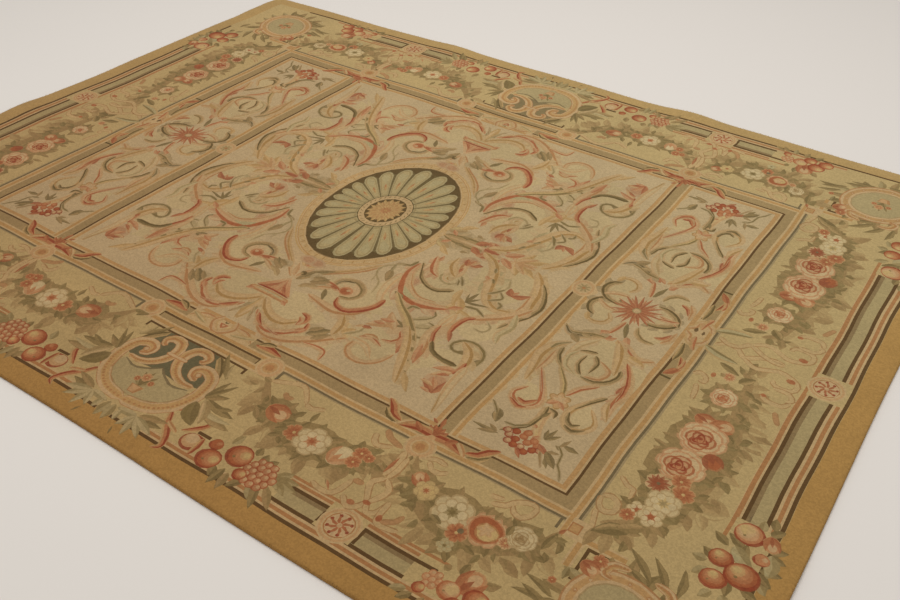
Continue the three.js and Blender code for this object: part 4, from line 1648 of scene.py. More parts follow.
def middle_cartouche_side():
    """One half of the cartouche on a long side. Its dark ground is paler on the far side."""
    dark_ground = between(GROUND_BLUE, LEAF_TAN, 0.45 if mirror[1] > 0 else 0.1)
    lay([(0, 942), (112, 942), (140, 975), (176, 1030), (150, 1080), (80, 1100), (0, 1090)], dark_ground)
    scroll([(104, 942), (138, 978), (168, 1020)], 10, 6, 14, OLIVE_SET, 1)
    field = [
        (-2, 1078), (30, 1096), (80, 1116), (132, 1100), (142, 1130), (124, 1172), (80, 1204),
        (-2, 1216),
    ]
    lay(field, PALE_FIELD)
    lay(stroke([(-2, 1074), (28, 1098), (78, 1118), (130, 1104)], 8, 8), BLUE_DARK)
    lay(stroke([(142, 1104), (140, 1140), (112, 1182), (60, 1206), (-2, 1212)], 5, 5, 5), BAND_OLIVE)
    beaded_scroll(
        [
            (118, 1062), (92, 1050), (88, 1024), (116, 1010), (152, 1028), (168, 1072), (166, 1126),
            (140, 1182), (84, 1220), (-4, 1232),
        ],
        16, 34, 14, 1,
    )
    beaded_scroll(
        [
            (66, 992), (78, 990), (84, 972), (64, 956), (34, 962), (18, 992), (20, 1034), (48, 1072),
            (92, 1090), (136, 1086),
        ],
        10, 12, 22, 1,
    )
    lay(stroke([(-4, 1018), (18, 1018), (40, 1018)], 16, 16), PEACH_EDGE)
    lay(stroke([(-4, 1017), (18, 1017), (38, 1017)], 10, 10), PEACH_LIGHT)
    lay(oval((108, 1040), 12, 12, 10), PEACH_EDGE)
    lay(oval((108, 1040), 8, 8, 9), PEACH_LIGHT)
    # Leaves lie beside and below it.
    leaf((186, 1000), (114, 914), 22, OLIVE_SET, -8)
    leaf((184, 1006), (160, 940), 18, (OLIVE, OLIVE_LIGHT, CREAM), -6)
    for tip, width in (((208, 1002), 20), ((238, 1002), 18), ((252, 1052), 24), ((226, 1030), 14)):
        leaf((188, 1092), tip, width, OLIVE_SET)
    leaf((200, 1090), (240, 1060), 20, SHADE_SET)
    leaf((206, 1092), (322, 1108), 30, OLIVE_SET, 6)
    leaf((250, 1104), (296, 1084), 20, OLIVE_SET)
    leaf((226, 1130), (344, 1150), 34, SHADE_SET, 6)
    leaf((226, 1132), (336, 1128), 20, (OLIVE_LIGHT, SAGE_LIGHT, CREAM), 5)
    leaf((184, 1118), (244, 1194), 52, DARK_SET, 10)
    leaf((200, 1096), (256, 1180), 34, (LEAF_BROWN, OLIVE_LIGHT, CREAM), -8)
    leaf((100, 1250), (190, 1226), 26, SHADE_SET)
    leaf((120, 1262), (190, 1250), 22, OLIVE_SET)
    for tip in ((22, 1262), (66, 1312), (110, 1334), (160, 1318), (184, 1286)):
        leaf((96, 1256), tip, 26, (OLIVE, SAGE_LIGHT, CREAM))
    leaf((10, 1256), (16, 1322), 30, (OLIVE, OLIVE_LIGHT, SAGE_LIGHT))
    leaf((40, 1262), (46, 1304), 22, (OLIVE, SAGE_LIGHT, CREAM))
    leaf((68, 1318), (80, 1350), 8, DARK_SET)


in_quarters(middle_cartouche_side)
print("patches after the long sides' cartouches:", len(patches))

# %% [markdown]
# A sprig fills each of the small fields. The corner's frame is round, and turned a little, so
# its rings are smooth ovals with a row of beads between them.

# %% Sprigs and corners
CORNER_LEAVES = 18


def corner_cartouche():
    """The medallion of a corner: a wreath of leaves, a beaded ring and two volutes."""
    centre = np.array([1480, 1084])
    turn = 0.6
    for angle in np.linspace(0.1, 2 * math.pi, CORNER_LEAVES, endpoint=False):
        way = towards(angle)
        tip = centre + way * dice.uniform(168, 214)
        leaf(centre + way * 118, tip, 30, dice.choice(LEAVES), dice.uniform(-8, 8))
    for base, tip in (
        ((1330, 1110), (1244, 1082)), ((1330, 1130), (1236, 1138)), ((1340, 1150), (1250, 1112)),
        ((1420, 1190), (1322, 1176)),
        ((1440, 1206), (1340, 1200)), ((1402, 900), (1396, 864)), ((1500, 940), (1420, 872)),
        ((1540, 940), (1478, 862)),
        ((1566, 940), (1552, 856)), ((1500, 960), (1440, 930)), ((1560, 1236), (1470, 1232)),
        ((1640, 1000), (1650, 940)),
    ):
        leaf(base, tip, 22, OLIVE_SET, 6)

    def rings(rows):
        for across, along, wool in rows:
            lay(flowing(oval(centre, across, along, 12, turn), 3, True), wool)

    rings(
        ((148, 130, PEACH_EDGE), (143, 125, PEACH_LIGHT), (134, 117, LINE_PEACH), (116, 99, PEACH_LIGHT))
    )
    for place in oval(centre, 122, 106, 14, turn):
        lay(oval(place, 7, 7, 8), PEACH_EDGE)
        lay(oval(place, 4, 4, 6), PEACH_LIGHT)
    rings(((108, 91, BAND_OLIVE), (103, 86, PALE_FIELD)))
    for side in (1, -1):
        rolled = centre + np.array(
            [(side * 30, -150), (side * 70, -140), (side * 84, -108), (side * 58, -98)]
        )
        beaded_scroll(rolled, 12, 8, 12, side)
    star_flower((1376, 952), 22)
    tulip((1362, 984), 28, 0.4)
    leaf((1320, 1010), (1322, 1050), 20, (OLIVE_DARK, OLIVE, SAGE_LIGHT))
    star_flower((1304, 1064), 12)
    sprig((1484, 1104), 62)


for sign in (1, -1):
    mirror[:] = 1, sign
    sprig((0, 1170), 62)
mirror[:] = 1, 1
in_quarters(corner_cartouche)
print("patches in all:", len(patches))

# %% [markdown]
# ## The hand of the weaver
# A hand-knotted pattern is never quite true. Its middle lies a little to one side, and every
# line wanders by a few millimetres. Both are added to all outlines at the end, so that the
# motifs stay in step with each other.

# %% Drift and wander of the pattern, in millimetres
DRIFT_X = [
    (-1775, 0), (-1650, 8), (-1273, 17), (-1204, 21), (-801, 29), (-400, 26), (0, 14), (400, 9), (801, 9),
    (1204, 4), (1400, 0), (1775, 0),
]
DRIFT_Y = [
    (-1370, 0), (-1250, -2), (-885, -8), (-400, -15), (0, -20), (400, -21), (816, -10), (1100, -6),
    (1300, 0), (1370, 0),
]


def stands_out(table, along):
    """Reads a table at many places: how far something stands out there, smoothly."""
    at, out = np.array(table, float).T
    along = np.clip(along, at[0], at[-1])
    k = np.clip(np.searchsorted(at, along, side="right") - 1, 0, len(at) - 2)
    share = (along - at[k]) / (at[k + 1] - at[k])
    share = share * share * (3 - 2 * share)
    return out[k] + (out[k + 1] - out[k]) * share


def smoothly_uneven(points):
    """The slow drift, and two small waves that run across each other."""
    x, y = points[:, 0], points[:, 1]
    move_x = stands_out(DRIFT_X, x) + 2.2 * np.sin(x / 83 + y / 131) + 1.3 * np.sin(y / 47 - x / 160)
    move_y = stands_out(DRIFT_Y, y) + 2.0 * np.sin(y / 91 - x / 119 + 1) + 1.3 * np.sin(x / 53 + y / 170)
    return points + np.stack([move_x, move_y], 1)


print("the middle of the pattern lies at", smoothly_uneven(np.zeros((1, 2)))[0].round(1), "mm")

# %% [markdown]
# ## The carpet's outline
# The edges wander by a few millimetres, and five shallow ripples have not settled. Both are
# the same as in the construction model, so the two agree everywhere.

# %% Outline and ripples, in millimetres
CARPET_LENGTH = 3550
CARPET_WIDTH = 2740
THICKNESS = 12
EDGE_SECTION = [
    (2.0, 0.0), (0.4, 0.9), (0.0, 2.6), (0.1, 5.0), (0.5, 7.2), (1.6, 9.0), (3.4, 10.4), (6.2, 11.3),
    (10.0, 11.8),
]
PILE_SHOULDER = 16
ROUND_CORNER = 22
CORNER_STEPS = 4
RIM_STEP = 24
FAR_EDGE = [
    (-1775, -8), (-1440, -2), (-1110, -6), (-610, 7), (-290, -2), (40, 2), (370, -7), (620, 7),
    (860, 0), (1360, -11), (1775, -6),
]
NEAR_EDGE = [(-1775, -4), (-900, 2), (-120, -3), (650, 3), (1775, -3)]
RIGHT_EDGE = [(-1370, 3), (-780, 7), (0, 0), (700, 4), (1370, -5)]
LEFT_EDGE = [
    (-1370, -3), (-700, 1), (-290, 5), (160, -12), (370, -6), (860, -4), (1110, -10), (1270, 0),
    (1370, -10),
]
RIPPLES = [
    (-610, 1370, 150, 130, 5), (620, 1370, 150, 120, 6), (-1775, 1130, 120, 110, 4),
    (-1775, -260, 150, 140, 6), (1775, -760, 110, 150, 3),
]
WANDER_FADE = 6


def on_carpet(points, height):
    """Moves points of the true rectangle to where the carpet has them, in metres."""
    x, y = points[:, 0], points[:, 1]
    near_x = np.abs(x / (CARPET_LENGTH / 2)) ** WANDER_FADE
    near_y = np.abs(y / (CARPET_WIDTH / 2)) ** WANDER_FADE
    out_x = np.where(x > 0, stands_out(RIGHT_EDGE, y), stands_out(LEFT_EDGE, y)) * near_x
    out_y = np.where(y > 0, stands_out(FAR_EDGE, x), stands_out(NEAR_EDGE, x)) * near_y
    lift = np.zeros(len(x))
    for middle_x, middle_y, along_x, along_y, high in RIPPLES:
        far = np.hypot((x - middle_x) / along_x, (y - middle_y) / along_y)
        lift += np.where(far < 1, high * (1 - far**2) ** 2, 0)
    moved = np.stack([x + np.sign(x) * out_x, y + np.sign(y) * out_y, lift + height], 1)
    return moved / 1000


def rim(inset):
    """The outline drawn in by inset: places every few centimetres, with round corners."""
    half_x = CARPET_LENGTH / 2 - ROUND_CORNER
    half_y = CARPET_WIDTH / 2 - ROUND_CORNER
    radius = ROUND_CORNER - inset
    points = []
    corners = [
        (half_x, -half_y, -90), (half_x, half_y, 0), (-half_x, half_y, 90), (-half_x, -half_y, 180),
    ]
    for k, (x, y, start) in enumerate(corners):
        for step in range(CORNER_STEPS + 1):
            angle = math.radians(start + 90 * step / CORNER_STEPS)
            points.append((x + radius * math.cos(angle), y + radius * math.sin(angle)))
        next_x, next_y, _ = corners[(k + 1) % 4]
        side = towards(math.radians(start + 90)) * radius
        count = int(math.hypot(next_x - x, next_y - y) / RIM_STEP)
        for step in range(1, count):
            share = step / count
            points.append((x + (next_x - x) * share + side[0], y + (next_y - y) * share + side[1]))
    return np.array(points)


print("places round the rim:", len(rim(0)))

# %% [markdown]
# ## Cutting the pattern into one mesh
# Blender's own planar triangulation takes every outline at once and cuts them where they
# cross. Most of those edges are hidden under later patches, so the cut is made twice: first
# with all outlines, to learn which patch is on top in each triangle, and then with only the
# edges that can be seen. The second mesh is far lighter and looks the same.

# %% Triangulate and find the top patch
LONGEST_EDGE = 70
POINTS_MEET = 1e-4
LEAST_AREA = 1e-5


def with_short_edges(outline):
    """Adds points to long straight edges, so that they can follow the carpet's wander."""
    result = []
    for start, end in zip(outline, np.roll(outline, -1, axis=0)):
        count = max(1, int(np.ceil(np.linalg.norm(end - start) / LONGEST_EDGE)))
        for step in range(count):
            result.append(start + (end - start) * step / count)
    return np.array(result)


def cut(points, edges):
    """Plane triangulation that keeps the given edges. Returns places and triangles."""
    places, _, faces, *_ = delaunay_2d_cdt(
        [Vector(p) for p in points], [tuple(e) for e in edges], [], 0, POINTS_MEET, False
    )
    places = np.array([tuple(p) for p in places])
    faces = np.array([f for f in faces if len(f) == 3])
    a, b, c = (places[faces[:, k]] for k in range(3))
    area = (b[:, 0] - a[:, 0]) * (c[:, 1] - a[:, 1]) - (b[:, 1] - a[:, 1]) * (c[:, 0] - a[:, 0])
    faces[area < 0] = faces[area < 0][:, ::-1]
    return places, faces[np.abs(area) > LEAST_AREA]


def inside(points, outline):
    """Which points lie in an outline."""
    x, y = points[:, 0], points[:, 1]
    result = np.zeros(len(points), bool)
    for (x0, y0), (x1, y1) in zip(outline, np.roll(outline, -1, axis=0)):
        if y0 != y1:
            crosses = (y0 > y) != (y1 > y)
            result ^= crosses & (x < (x1 - x0) * (y - y0) / (y1 - y0) + x0)
    return result


def top_patch(places, faces, outlines):
    """The number of the topmost patch over each triangle, or -1 on the bare edge."""
    middles = places[faces].mean(axis=1)
    order = np.argsort(middles[:, 0])
    middles = middles[order]
    top = np.full(len(faces), -1)
    for number, outline in enumerate(outlines):
        low, high = outline.min(axis=0), outline.max(axis=0)
        first, last = np.searchsorted(middles[:, 0], (low[0], high[0]))
        near = np.arange(first, last)
        near = near[(middles[near, 1] > low[1]) & (middles[near, 1] < high[1])]
        if len(near):
            top[near[inside(middles[near], outline)]] = number
    result = np.empty_like(top)
    result[order] = top
    return result


print("longest straight edge in millimetres:", LONGEST_EDGE)

# %% [markdown]
# An edge is kept where the two patches beside it differ to the eye. Kept edges form long
# chains, and a point that hardly bends its chain is dropped.

# %% Find the edges that show
POINT_TOLERANCE = 2.0
LEAST_CONTRAST = 0.03


def seen_edges(faces, top, tone):
    """Edges between triangles whose patches differ to the eye. tone holds each patch's wool."""
    sides = np.vstack([faces[:, [0, 1]], faces[:, [1, 2]], faces[:, [2, 0]]])
    owner = np.tile(np.arange(len(faces)), 3)
    key = np.sort(sides, axis=1)
    order = np.lexsort((key[:, 1], key[:, 0]))
    key, owner = key[order], owner[order]
    same = np.all(key[1:] == key[:-1], axis=1)
    pair = np.nonzero(same)[0]
    contrast = np.linalg.norm(tone[top[owner[pair]]] - tone[top[owner[pair + 1]]], axis=1)
    return key[pair[contrast > LEAST_CONTRAST]]


def without_needless_points(places, edges, tolerance):
    """Follows each chain of edges and drops the points that hardly bend it."""
    neighbours = {}
    for a, b in edges.tolist():
        neighbours.setdefault(a, []).append(b)
        neighbours.setdefault(b, []).append(a)
    crossings = [p for p, others in neighbours.items() if len(others) != 2]
    done = set()
    kept = []

    def thin(chain):
        """Keeps the ends, and where the chain strays too far from a straight line, its bend."""
        stack = [(0, len(chain) - 1)]
        line = places[chain]
        while stack:
            first, last = stack.pop()
            if last - first > 1:
                along = line[last] - line[first]
                length = math.hypot(*along)
                gap = line[first + 1:last] - line[first]
                if length > 1e-6:
                    away = np.abs(gap[:, 0] * along[1] - gap[:, 1] * along[0]) / length
                else:
                    away = np.hypot(gap[:, 0], gap[:, 1])
                worst = int(away.argmax())
                if away[worst] > tolerance or length > LONGEST_EDGE:
                    middle = first + 1 + worst
                    stack += [(first, middle), (middle, last)]
                    continue
            kept.append((chain[first], chain[last]))

    for start in crossings + list(neighbours):
        for step in neighbours[start]:
            if (start, step) in done:
                continue
            chain = [start, step]
            done.update([(start, step), (step, start)])
            while len(neighbours[chain[-1]]) == 2 and chain[-1] != start:
                a, b = neighbours[chain[-1]]
                following = b if a == chain[-2] else a
                if (chain[-1], following) in done:
                    break
                done.update([(chain[-1], following), (following, chain[-1])])
                chain.append(following)
            if chain[-1] == chain[0] and len(chain) > 3:
                middle = len(chain) // 2
                thin(chain[:middle + 1])
                thin(chain[middle:])
            else:
                thin(chain)
    return np.array([pair for pair in kept if pair[0] != pair[1]])


print("a line of the pattern may stray by", POINT_TOLERANCE, "mm")

# %% [markdown]
# All outlines now get the weaver's drift. Their points are numbered one after another, as the
# triangulation wants them, and each outline is a closed chain of such numbers.

# %% The first cut
PATTERN_INSET = PILE_SHOULDER + 3

limit = np.array([CARPET_LENGTH, CARPET_WIDTH]) / 2 - PATTERN_INSET
outlines = [np.clip(smoothly_uneven(with_short_edges(outline)), -limit, limit) for outline, *_ in patches]
counts = [len(outline) for outline in outlines]
starts = np.cumsum([0] + counts[:-1])


def closed_chain(count, start=0):
    """The edges of a closed outline, as pairs of point numbers."""
    steps = np.arange(count)
    return np.stack([start + steps, start + (steps + 1) % count], 1)


edges = np.vstack([closed_chain(count, start) for start, count in zip(starts, counts)])
rough_places, rough_faces = cut(np.vstack(outlines), edges)
rough_top = top_patch(rough_places, rough_faces, outlines)
tone = [np.mean(wool[1:3], axis=0) if wool[0] == "blend" else wool for _, wool, *_ in patches]
tone = np.array(tone + [EDGE_GOLD])
seen = seen_edges(rough_faces, rough_top, tone)
kept = without_needless_points(rough_places, seen, POINT_TOLERANCE)
print("first cut:", len(rough_faces), "triangles,", len(seen), "edges seen,", len(kept), "kept")

# %% [markdown]
# The second cut adds the rounded rim and a loose grid of points, which let the face follow
# the ripples.

# %% The final pattern mesh
GRID = 62
GRID_INSET = 50
PALER_EDGE = 0.55  # how far the gold fades towards the cream of the border


def grid_line(size):
    """Evenly spaced places across the carpet, from one edge to the other."""
    return np.arange(-size / 2 + GRID_INSET, size / 2 - GRID_INSET + 1, GRID)


used, kept_edges = np.unique(kept, return_inverse=True)
kept_edges = kept_edges.reshape(-1, 2)
shoulder = rim(PILE_SHOULDER)
grid = np.array([(x, y) for x in grid_line(CARPET_LENGTH) for y in grid_line(CARPET_WIDTH)])
rim_edges = closed_chain(len(shoulder))
all_points = np.vstack([shoulder, rough_places[used], grid])
all_edges = np.vstack([rim_edges, kept_edges + len(shoulder)])
face_places, face_triangles = cut(all_points, all_edges)
face_top = top_patch(face_places, face_triangles, outlines)
print("pile face:", len(face_places), "places,", len(face_triangles), "triangles")


def edge_wool(places):
    """The plain gold of the edge, which is paler towards the far side and the left."""
    far = places[:, 1] / (CARPET_WIDTH / 2)
    left = -places[:, 0] / (CARPET_LENGTH / 2)
    share = np.clip(np.maximum(far, left), 0, 1)[:, None] ** 2 * PALER_EDGE
    return np.array(EDGE_GOLD) * (1 - share) + np.array(BORDER_CREAM) * share


def wool_of(number, places):
    """The colour of a patch at some places."""
    if number < 0:
        return edge_wool(places)
    _, wool, signs, shade = patches[number]
    if wool[0] != "blend":
        return np.tile(np.array(wool) * shade, (len(places), 1))
    _, start_wool, end_wool, start, end = wool
    start, end = np.array(start), np.array(end)
    share = ((places * signs - start) @ (end - start)) / ((end - start) @ (end - start))
    share = np.clip(share, 0, 1)[:, None]
    return (np.array(start_wool) * (1 - share) + np.array(end_wool) * share) * shade


corner_places = face_places[face_triangles]
face_wool = np.zeros((len(face_triangles), 3, 3))
order = np.argsort(face_top, kind="stable")
numbers, first = np.unique(face_top[order], return_index=True)
for number, start, end in zip(numbers, first, list(first[1:]) + [len(order)]):
    chosen = order[start:end]
    flat_places = corner_places[chosen].reshape(-1, 2)
    face_wool[chosen] = wool_of(number, flat_places).reshape(-1, 3, 3)

# %% [markdown]
# Where two wools meet, a weaver mixes them in the knots between. The same is done here: in
# narrow triangles each corner takes part of the mean colour of all triangles round it, and
# wide triangles keep their own colour.

# %% Soften the meeting of two wools
SOFT_WIDTH = 8.0  # a triangle narrower than this is softened in full
SOFT_MOST = 0.3  # the share of the mean colour that its corners take

sides = corner_places - np.roll(corner_places, 1, axis=1)
longest = np.linalg.norm(sides, axis=2).max(axis=1)
double_area = np.abs(sides[:, 0, 0] * sides[:, 1, 1] - sides[:, 0, 1] * sides[:, 1, 0])
height = double_area / longest
total = np.zeros((len(face_places), 3))
weight = np.zeros(len(face_places))
for corner in range(3):
    np.add.at(total, face_triangles[:, corner], face_wool[:, corner] * double_area[:, None])
    np.add.at(weight, face_triangles[:, corner], double_area)
mean_wool = (total / (weight[:, None] + 1e-12))[face_triangles]
drawn_by_hand = np.array([shade != 1 for *_, shade in patches] + [False])[face_top]
softness = (SOFT_MOST * drawn_by_hand * np.clip(2 - height / SOFT_WIDTH, 0, 1))[:, None, None]
face_wool = face_wool * (1 - softness) + mean_wool * softness
print("corners softened:", int((softness > 0).sum()) * 3)

# %% [markdown]
# ## One closed sheet
# The pile face, the rounded edge and the woven back become one mesh with no gaps. The UV map
# lays the face out flat at an even scale, with the rounded edge and the back in a strip
# beside it, so that anything painted on it later keeps its proportions.

# %% Helpers for the sheet
FACE_STRIP = 0.2
EDGE_STRIP = (0.166, 0.19)
BACK_STRIP = (0.002, 0.156)
MAP_X = 3600
MAP_Y = 2790
BACK_WOOL = np.array(skein(172, 150, 116))


def slow_swell(places):
    """The pile stands a little higher and lower, as on any carpet that has been rolled."""
    x, y = places[:, 0], places[:, 1]
    return 0.35 * np.sin(x / 210 + 0.6) * np.sin(y / 170) + 0.2 * np.sin(x / 90 - y / 120)


def in_strip(strip, share):
    """A height in one of the strips of the UV map."""
    return strip[0] + (strip[1] - strip[0]) * share


def as_triangles(quads):
    """Cuts each quad in two. It serves for point numbers, colours and map places alike."""
    return np.vstack([quads[:, [0, 1, 2]], quads[:, [0, 2, 3]]])


def dye(mesh, corner_wools):
    """Gives a mesh its wools, one for each corner of each face."""
    colours = mesh.color_attributes.new("wool", "FLOAT_COLOR", "CORNER")
    opaque = np.ones((len(corner_wools), 1))
    colours.data.foreach_set("color", np.hstack([corner_wools, opaque]).ravel())


def numbers_of(wanted, places):
    """Finds points again by their coordinates."""
    lookup = {tuple(np.round(p, 3)): k for k, p in enumerate(places)}
    return np.array([lookup[tuple(np.round(p, 3))] for p in wanted])


print("rings round the edge:", len(EDGE_SECTION))

# %% [markdown]
# The sheet is built from the top down. Each ring of the edge hangs on the one above it, and
# the back closes the lowest ring, so no two points lie in the same place.

# %% Build the carpet
def build_carpet():
    """The face, the rings of the rounded edge from the top down, and the back."""
    rings = [rim(inset) for inset, _ in EDGE_SECTION]
    count = len(shoulder)
    back_places, back_triangles = cut(np.vstack([rings[0], grid]), rim_edges)

    places = [on_carpet(face_places, THICKNESS + slow_swell(face_places))]
    triangles = [face_triangles]
    wools = [face_wool]
    map_x = face_places[:, 0] / MAP_X + 0.5
    map_y = in_strip((FACE_STRIP, 1), face_places[:, 1] / MAP_Y + 0.5)
    maps = [np.stack([map_x, map_y], 1)[face_triangles]]

    above = numbers_of(shoulder, face_places)
    offset = len(face_places)
    levels = list(zip(rings, EDGE_SECTION))[::-1]
    for level, (points, (_, height)) in enumerate(levels):
        places.append(on_carpet(points, height))
        below = offset + np.arange(count)
        offset += count
        after = (np.arange(count) + 1) % count
        triangles.append(as_triangles(np.stack([above, below, below[after], above[after]], 1)))
        gold = edge_wool(points)
        wools.append(as_triangles(np.stack([gold, gold, gold[after], gold[after]], 1)))
        here = np.arange(count) / count
        high = np.full(count, in_strip(EDGE_STRIP, 1 - level / len(levels)))
        low = np.full(count, in_strip(EDGE_STRIP, 1 - (level + 1) / len(levels)))
        corners = ((here, high), (here, low), (here + 1 / count, low), (here + 1 / count, high))
        maps.append(as_triangles(np.stack([np.stack(corner, 1) for corner in corners], 1)))
        above = below

    # The back hangs on the lowest ring.
    number = np.full(len(back_places), -1)
    number[numbers_of(rings[0], back_places)] = above
    rest = np.nonzero(number < 0)[0]
    number[rest] = offset + np.arange(len(rest))
    places.append(on_carpet(back_places[rest], np.zeros(len(rest))))
    triangles.append(number[back_triangles][:, ::-1])
    wools.append(np.tile(BACK_WOOL, (len(back_triangles), 3, 1)))
    map_y = in_strip(BACK_STRIP, back_places[:, 1] / MAP_Y + 0.5)
    back_map = np.stack([0.5 - back_places[:, 0] / MAP_X, map_y], 1)
    maps.append(back_map[back_triangles][:, ::-1])

    mesh = bpy.data.meshes.new("carpet_sheet")
    mesh.from_pydata(np.vstack(places).tolist(), [], np.vstack(triangles).tolist())
    dye(mesh, np.vstack([w.reshape(-1, 3) for w in wools]))
    layer = mesh.uv_layers.new(name="OFBake")
    layer.data.foreach_set("uv", np.vstack([m.reshape(-1, 2) for m in maps]).ravel())
    mesh.polygons.foreach_set("use_smooth", [True] * len(mesh.polygons))
    mesh.update()
    carpet = bpy.data.objects.new("carpet_sheet", mesh)
    bpy.context.scene.collection.objects.link(carpet)
    return carpet


carpet = build_carpet()
print("carpet:", len(carpet.data.polygons), "triangles")

# %% [markdown]
# ## Wool
# Cut pile is matt, a little fuzzy at a slant, and never one flat colour. Three things break
# the colour: each knot takes the dye a little differently, each batch of yarn differs from
# the next in bands across the loom, and painted light and shade stand in for the pile lying
# this way and that where it was brushed. Over the whole carpet a slow painted shade is added:
# deeper and warmer at the near left, and paler, as painted light, at the far right. The bump
# has the knots' own size and the finer fibres over it.

# %% Helpers for node trees
def node(tree, kind, place=(0, 0), **values):
    """Adds a node, and sets what it has besides its sockets."""
    made = tree.nodes.new(kind)
    made.location = place
    for name, value in values.items():
        setattr(made, name, value)
    return made


def mapped(tree, coordinates, scale, place):
    """Coordinates that run faster or slower along each axis."""
    made = node(tree, "ShaderNodeMapping", place)
    made.inputs["Scale"].default_value = scale
    tree.links.new(coordinates, made.inputs["Vector"])
    return made.outputs["Vector"]


def noise(tree, vector, scale, detail, place):
    """A soft noise between nought and one."""
    made = node(tree, "ShaderNodeTexNoise", place)
    made.inputs["Scale"].default_value = scale
    made.inputs["Detail"].default_value = detail
    tree.links.new(vector, made.inputs["Vector"])
    return made.outputs["Fac"]


def as_range(tree, value, start, end, low, high, place):
    """What lies between start and end comes out between low and high."""
    made = node(tree, "ShaderNodeMapRange", place)
    for name, number in (("From Min", start), ("From Max", end), ("To Min", low), ("To Max", high)):
        made.inputs[name].default_value = number
    tree.links.new(value, made.inputs["Value"])
    return made.outputs["Result"]


def as_tone(tree, value, stray, place):
    """A noise as a factor that strays from one by a little."""
    return as_range(tree, value, 0.25, 0.75, 1 - stray, 1 + stray, place)


def times(tree, first, second, place):
    """The product of two values."""
    made = node(tree, "ShaderNodeMath", place, operation="MULTIPLY")
    tree.links.new(first, made.inputs[0])
    tree.links.new(second, made.inputs[1])
    return made.outputs["Value"]


print(
    "helpers for nodes:",
    [helper.__name__ for helper in (node, mapped, noise, as_range, as_tone, times)]
)

# %% [markdown]
# Each effect is a noise in the carpet's own metres, turned into a factor near one. The factors
# are multiplied with each other, and their product scales the wool that each corner has.

# %% The wool material
KNOT = 0.0042  # metres from knot to knot
FLECKS = 95.0  # flecks and fibres in a metre
FIBRES = 900.0
# The third stray is the painted light and shade of the brushed pile.
KNOT_STRAY, BATCH_STRAY, PAINTED_SHEEN_STRAY, FLECK_STRAY = 0.07, 0.05, 0.06, 0.07
# Painted shade at the near left and painted light at the far right: their tones and tints.
NEAR_PAINTED_SHADE = 0.895
FAR_PAINTED_LIGHT = 1.02
SLOPE_TO_FAR_RIGHT = (0.45, 0.75, 0.0)
NEAR_LEFT_PAINTED_SHADE = (0.93, 0.86, 0.80)
FAR_RIGHT_PAINTED_LIGHT = (1.03, 1.06, 1.04)
MATT = {
    "Roughness": 0.94, "Specular IOR Level": 0.05,
    "Sheen Weight": 0.05, "Sheen Roughness": 0.5, "Sheen Tint": (1.0, 0.93, 0.82, 1.0),
}
KNOT_HEIGHT, KNOT_STRENGTH = 0.0012, 0.35
FIBRE_HEIGHT, FIBRE_STRENGTH = 0.0006, 0.5


def bump(tree, height, distance, strength, place):
    """A bump node with its height plugged in."""
    made = node(tree, "ShaderNodeBump", place)
    made.inputs["Strength"].default_value = strength
    made.inputs["Distance"].default_value = distance
    tree.links.new(height, made.inputs["Height"])
    return made


